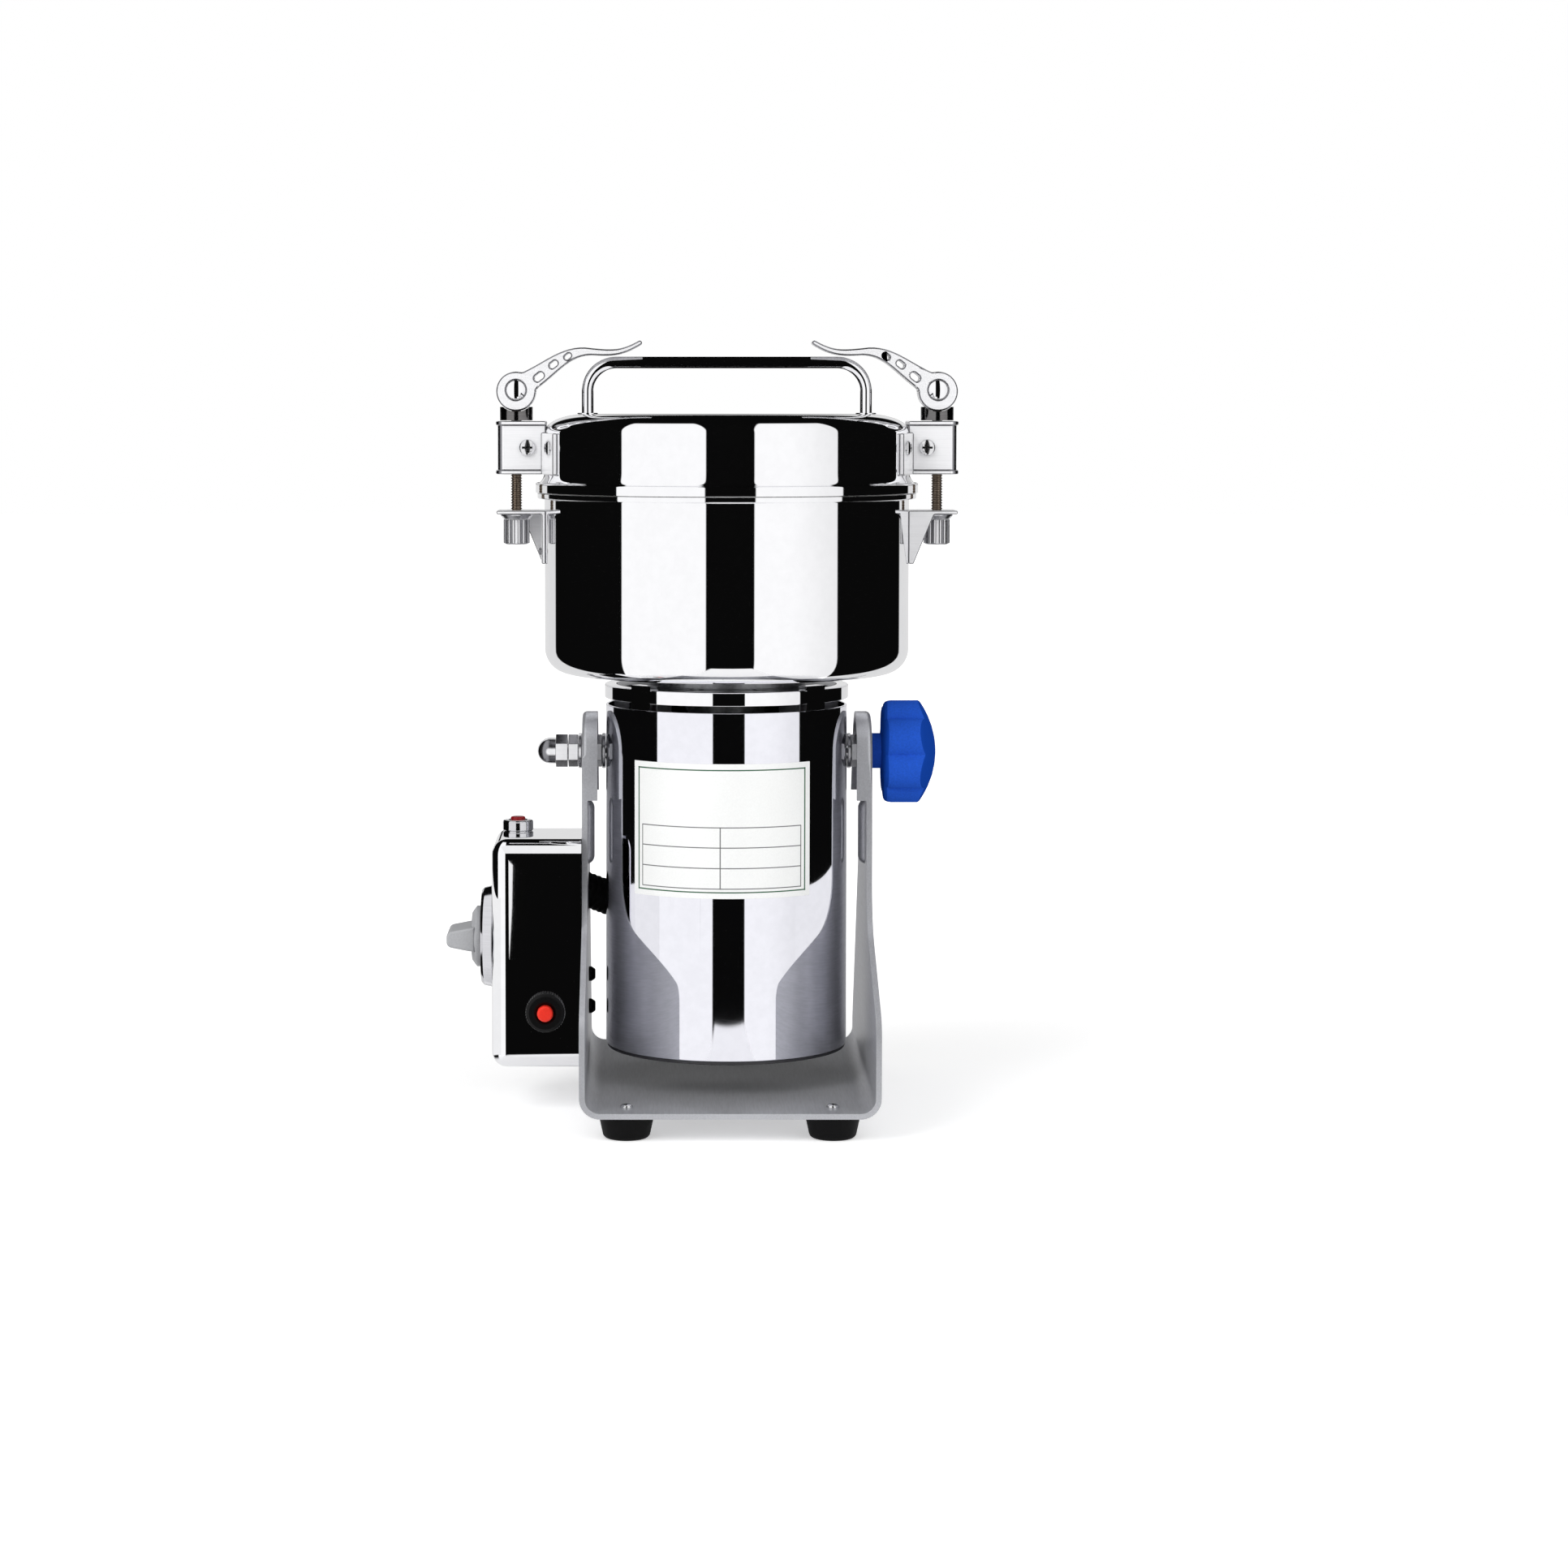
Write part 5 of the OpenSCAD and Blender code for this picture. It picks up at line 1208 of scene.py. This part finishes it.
@dataclass
class TiltKnob(Assembly):
    """Star knob that locks the tilt, with its bolt.

    The skirt's rows are shares of the outline and heights over the back, the dome's are shares.
    """

    body: str = "tilt_knob"
    back: float = 71.1
    front: float = 95.1
    flank: float = 16.0
    reach: float = 23.6
    lobes: int = 7
    axis_z: float = 162.0
    skirt: tuple[Point, ...] = ((0.36, -1.0), (0.62, -0.2), (0.88, 0.0), (0.93, 0.2), (0.97, 0.9),
                                (0.99, 2.0), (1.0, 3.6), (1.0, 9.0))
    dome: tuple[float, ...] = (1.0, 0.995, 0.985, 0.97, 0.93, 0.84, 0.7, 0.5, 0.3, 0.15, 0.05)
    crease: float = 0.97

    def build(self) -> None:
        """Build and dress the knob."""
        edge = self.outline()
        fall = self.front - self.back - self.flank
        ball = (self.reach ** 2 + fall ** 2) / (2 * fall)
        rings = [[Vector((x * share, y * share, self.back + up)) for x, y in edge]
                 for share, up in self.skirt]
        for share in self.dome:
            sunk = 0.5 * max(0.0, (share - self.crease) / (1 - self.crease)) ** 2
            loop = [(x * share, y * share) for x, y in edge]
            rings.append([Vector((x, y, self.front - ball + math.sqrt(ball ** 2 - x * x - y * y)
                                  - sunk)) for x, y in loop])
        place = axes((0, 0, self.axis_z), (0, 1, 0), (0, 0, 1))
        star = Shape().skin(rings, place)
        star.turn([(4.1, 65.9, 0.2), (8, 65.9, 0.6), (8, 72.5, 0), (4.1, 72.5, 0)], place, 56)
        self.add("star_knob", [star.mesh(50)], BLUE, "tilt_knob")
        self.refine(BRIGHT, 0.2, "tilt_bolt")

    def outline(self) -> list[Point]:
        """Draw the outline with its round lobes."""
        ring, lobe, core = self.reach * 0.59, self.reach * 0.41, self.reach * 0.72
        count = self.lobes * 26
        points = []
        for k in range(count):
            a = math.tau * k / count
            near = math.tau * ((a * self.lobes / math.tau + 0.5) % 1.0 - 0.5) / self.lobes
            rest = max(0.0, lobe ** 2 - (ring * math.sin(near)) ** 2)
            r = max(core, ring * math.cos(near) + math.sqrt(rest))
            points.append((r * math.cos(a), r * math.sin(a)))
        return points


@dataclass
class Lead(Assembly):
    """Sleeved lead between the arm and the motor housing."""

    start: Triple = (-63.0, 18.0, 95.5)
    drop: float = 22.0
    yaw: float = 15.0
    radius: float = 8.0
    before: float = 4.0
    length: float = 23.0
    ripple: Point = (0.35, 2.6)

    def build(self) -> None:
        """Build the sleeve."""
        tip, turn = math.radians(90 + self.drop), math.radians(self.yaw)
        way = Vector((math.sin(tip) * math.cos(turn), math.sin(tip) * math.sin(turn),
                      math.cos(tip)))
        side = Vector((0, 0, 1)).cross(way).normalized()
        deep, pitch = self.ripple
        rings = []
        for k in range(47):
            along = self.length * k / 46 - self.before
            r = self.radius - deep * (0.5 - 0.5 * math.cos(math.tau * along / pitch))
            at = axes(Vector(self.start) + way * along, side, way.cross(side))
            rings.append([at @ Vector((x, y, 0)) for x, y in circle(r, 40)])
        sleeve = self.add("lead_sleeve", [Shape().skin(rings).mesh()], RUBBER, "motor_lead")
        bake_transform(sleeve)


@dataclass
class Studio:
    """Camera, white room, soft lamps, reflector cards and pale floor.

    The camera's values are the eye in metres, the picture point straight ahead, the focal length
    in pixels of the picture and the dip in degrees. The cards' corners are in millimetres.
    """

    eye: Triple = (-0.034, -1.59, 0.318)
    ahead: Point = (803.0, 758.0)
    focus: float = 4318.0
    dip: float = 3.39
    picture: Point = (1932.0, 1915.0)
    fill: float = 0.54
    front: float = 0.28
    shine: float = 1.06
    far_wall: float = 0.76
    panels: tuple[Point, ...] = ((-70.0, -14.0), (16.0, 72.0))
    panel_top: float = 108.0
    panel_corner: Point = (8.0, 76.0)
    card_light: float = 0.95
    top_card: tuple[Triple, ...] = ((-125, -150, 150), (-125, -32, 150), (-60, -32, 150),
                                    (-60, -150, 150))
    strip_card: tuple[Triple, ...] = ((-108.5, -250, 66), (-109, -250, 88), (-105.2, -250, 84),
                                      (-105.6, -250, 62), (-107.1, -250, 34.7))
    left_card: tuple[Triple, ...] = ((-200, -115, -20), (-200, 90, -20), (-200, 90, 92),
                                     (-200, -115, 80))
    right_card: tuple[Triple, ...] = ((200, -115, 80), (200, 90, 92), (200, 90, -20),
                                      (200, -115, -20))

    def camera(self) -> None:
        """Set the camera at the photograph's viewing angle."""
        data = bpy.data.cameras.new("camera")
        data.sensor_fit = "HORIZONTAL"
        data.sensor_width = 36.0
        wide, tall = self.picture
        data.lens = data.sensor_width * self.focus / wide
        data.shift_x = (wide / 2 - self.ahead[0]) / wide
        data.shift_y = (self.ahead[1] - tall / 2) / wide
        data.clip_start = 0.05
        made = placed("camera", data)
        made.location = self.eye
        made.rotation_euler = (math.pi / 2 - math.radians(self.dip), 0, 0)
        bpy.context.scene.camera = made
        bpy.context.scene.view_settings.view_transform = "Standard"

    def room(self) -> None:
        """Light the room: white for the camera, tall panels for polished metal, plain else."""
        world = bpy.context.scene.world or bpy.data.worlds.new("room")
        bpy.context.scene.world = world
        world.use_nodes = True
        bench = Bench(world.node_tree)
        x, y, z = bench.split(bench.where("Generated"))
        turn = x.maths("ARCTAN2", 0 - y) * (180 / math.pi)
        rise = z.maths("ARCSINE") * (180 / math.pi)
        open_sky = (1 - rise.band(-0.3, 2.0, 0.3)) * (1 - rise.rise(11, 14))
        behind = abs(turn).rise(138, 140) * open_sky * self.far_wall
        turn = x.maths("ARCTAN2", 1 - y) * (360 / math.pi)
        slope = z / (2.0001 - 2 * y).maths("SQRT")
        rise = slope.maths("ARCSINE") * (360 / math.pi)
        left, right = (self.panel(turn, rise, *ends) for ends in self.panels)
        glow = (left + right) * (1 - y.rise(0.8, 0.9))
        glow = glow * (self.shine - 0.14 * turn.rise(34, 74)) + behind + 0.003
        glossy = bench.ray("Glossy")
        level = glossy * glow + (1 - glossy) * (self.fill - self.front * y)
        seen = bench.ray("Camera").maths("MAXIMUM", bench.ray("Transmission"))
        light = bench.add("ShaderNodeBackground", None,
                          {"Color": (1, 1, 1, 1), "Strength": seen + (1 - seen) * level})
        bench.node("ShaderNodeOutputWorld", None, {0: light})

    def panel(self, turn: Wire, rise: Wire, low: float, high: float) -> Wire:
        """Draw a tall light panel with rounded upper corners.

        Args:
            turn: Twice the angle to the side of a surface that mirrors it, in degrees.
            rise: Twice the angle upward of that surface.
            low: Left end of the panel.
            high: Right end of the panel.

        Returns:
            1 on the panel and 0 off it.
        """
        wide, tall = self.panel_corner
        side = (abs(turn - (low + high) / 2) - (high - low) / 2 + wide) / wide
        up = (rise - self.panel_top + tall) / tall
        side, up = side.maths("MAXIMUM"), up.maths("MAXIMUM")
        return 1 - (side * side + up * up).maths("SQRT").rise(0.94, 1.06)

    def lamps(self) -> None:
        """Hang two soft lamps in front, left and right."""
        for name, spot, power in (("lamp_left", (-1.3, -1.5, 1.5), 21.0),
                                  ("lamp_right", (1.3, -1.4, 1.4), 9.0)):
            data = bpy.data.lights.new(name, "AREA")
            data.shape = "RECTANGLE"
            data.size, data.size_y = 1.0, 1.4
            data.energy = power
            lamp = placed(name, data)
            lamp.location = spot
            aim = Vector((0, 0, 0.15)) - Vector(spot)
            lamp.rotation_euler = aim.to_track_quat("-Z", "Y").to_euler()
            lamp.visible_glossy = False

    def cards(self) -> None:
        """Set white cards round the lower half that only polished metal sees, on one side."""
        material, bench = blank("white_card")
        hit = bench.node("ShaderNodeNewGeometry")
        steep = bench.split(Wire(bench, hit.outputs["Incoming"]))[2].rise(0.3, 0.4)
        unseen = Wire(bench, hit.outputs["Backfacing"]).maths("MAXIMUM", steep)
        glow = bench.add("ShaderNodeEmission", None, {"Strength": self.card_light})
        lit = bench.blend(unseen, glow, bench.add("ShaderNodeBsdfTransparent"))
        bench.node("ShaderNodeOutputMaterial", None, {0: lit})
        for name, outline in (("top_card", self.top_card), ("strip_card", self.strip_card),
                              ("left_card", self.left_card), ("right_card", self.right_card)):
            data = bpy.data.meshes.new(name)
            points = [Vector(corner) * MM for corner in outline]
            data.from_pydata(points, [], [list(range(len(points)))])
            data.materials.append(material)
            card = placed(name, data)
            card.visible_camera = False
            card.visible_diffuse = False
            card.visible_shadow = False

    def calm(self, *names: str) -> None:
        """Keep small coloured pieces out of the polished metal's reflections."""
        for name in names:
            bpy.data.objects[name].visible_glossy = False

    def floor(self) -> None:
        """Lay the pale floor, which stays white to the camera but keeps the shadow."""
        rings = [(0, 0), (300, 0), (900, 0), (9000, 0)]
        data = Shape().lathe(rings, steps=64, shut=False).mesh()
        material, bench = blank("pale_floor")
        pale = bench.add("ShaderNodeBsdfDiffuse", None, {"Color": (0.9, 0.9, 0.9, 1)})
        camera, glossy = bench.ray("Camera"), bench.ray("Glossy")
        x, y, _ = bench.split(bench.where())
        far = (x * x + y * y).maths("SQRT")
        level = camera * (0.42 + 0.36 * far.rise(0.15, 0.7)) + glossy * 0.22
        lift = bench.add("ShaderNodeEmission", None, {"Strength": level})
        both = bench.add("ShaderNodeAddShader", None, {0: pale, 1: lift})
        strip = x.band(-0.06, 0.08, 0.006) * y.rise(-0.315, -0.3) * (1 - y.rise(-0.1, -0.09))
        near = strip.maths("MAXIMUM", 1 - far.rise(0.125, 0.15))
        clear = bench.add("ShaderNodeBsdfTransparent")
        shader = bench.blend((1 - near) * glossy, both, clear)
        bench.node("ShaderNodeOutputMaterial", None, {0: shader})
        data.materials.append(material)
        placed("pale_floor", data)


def main() -> None:
    """Build the pieces in order."""
    logging.basicConfig(level=logging.INFO, format="%(message)s")
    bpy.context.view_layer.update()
    studio = Studio()
    studio.camera()
    studio.room()
    studio.lamps()
    studio.floor()
    studio.cards()
    for assembly in (Stand(), ControlBox(), MotorUnit(), Bowl(), Lid(), Clamp("left", -95.3),
                     Clamp("right", 95.3), TiltKnob(), Lead()):
        assembly.build()
    studio.calm("star_knob", "power_cap", "power_collar")


if __name__ == "__main__":
    main()
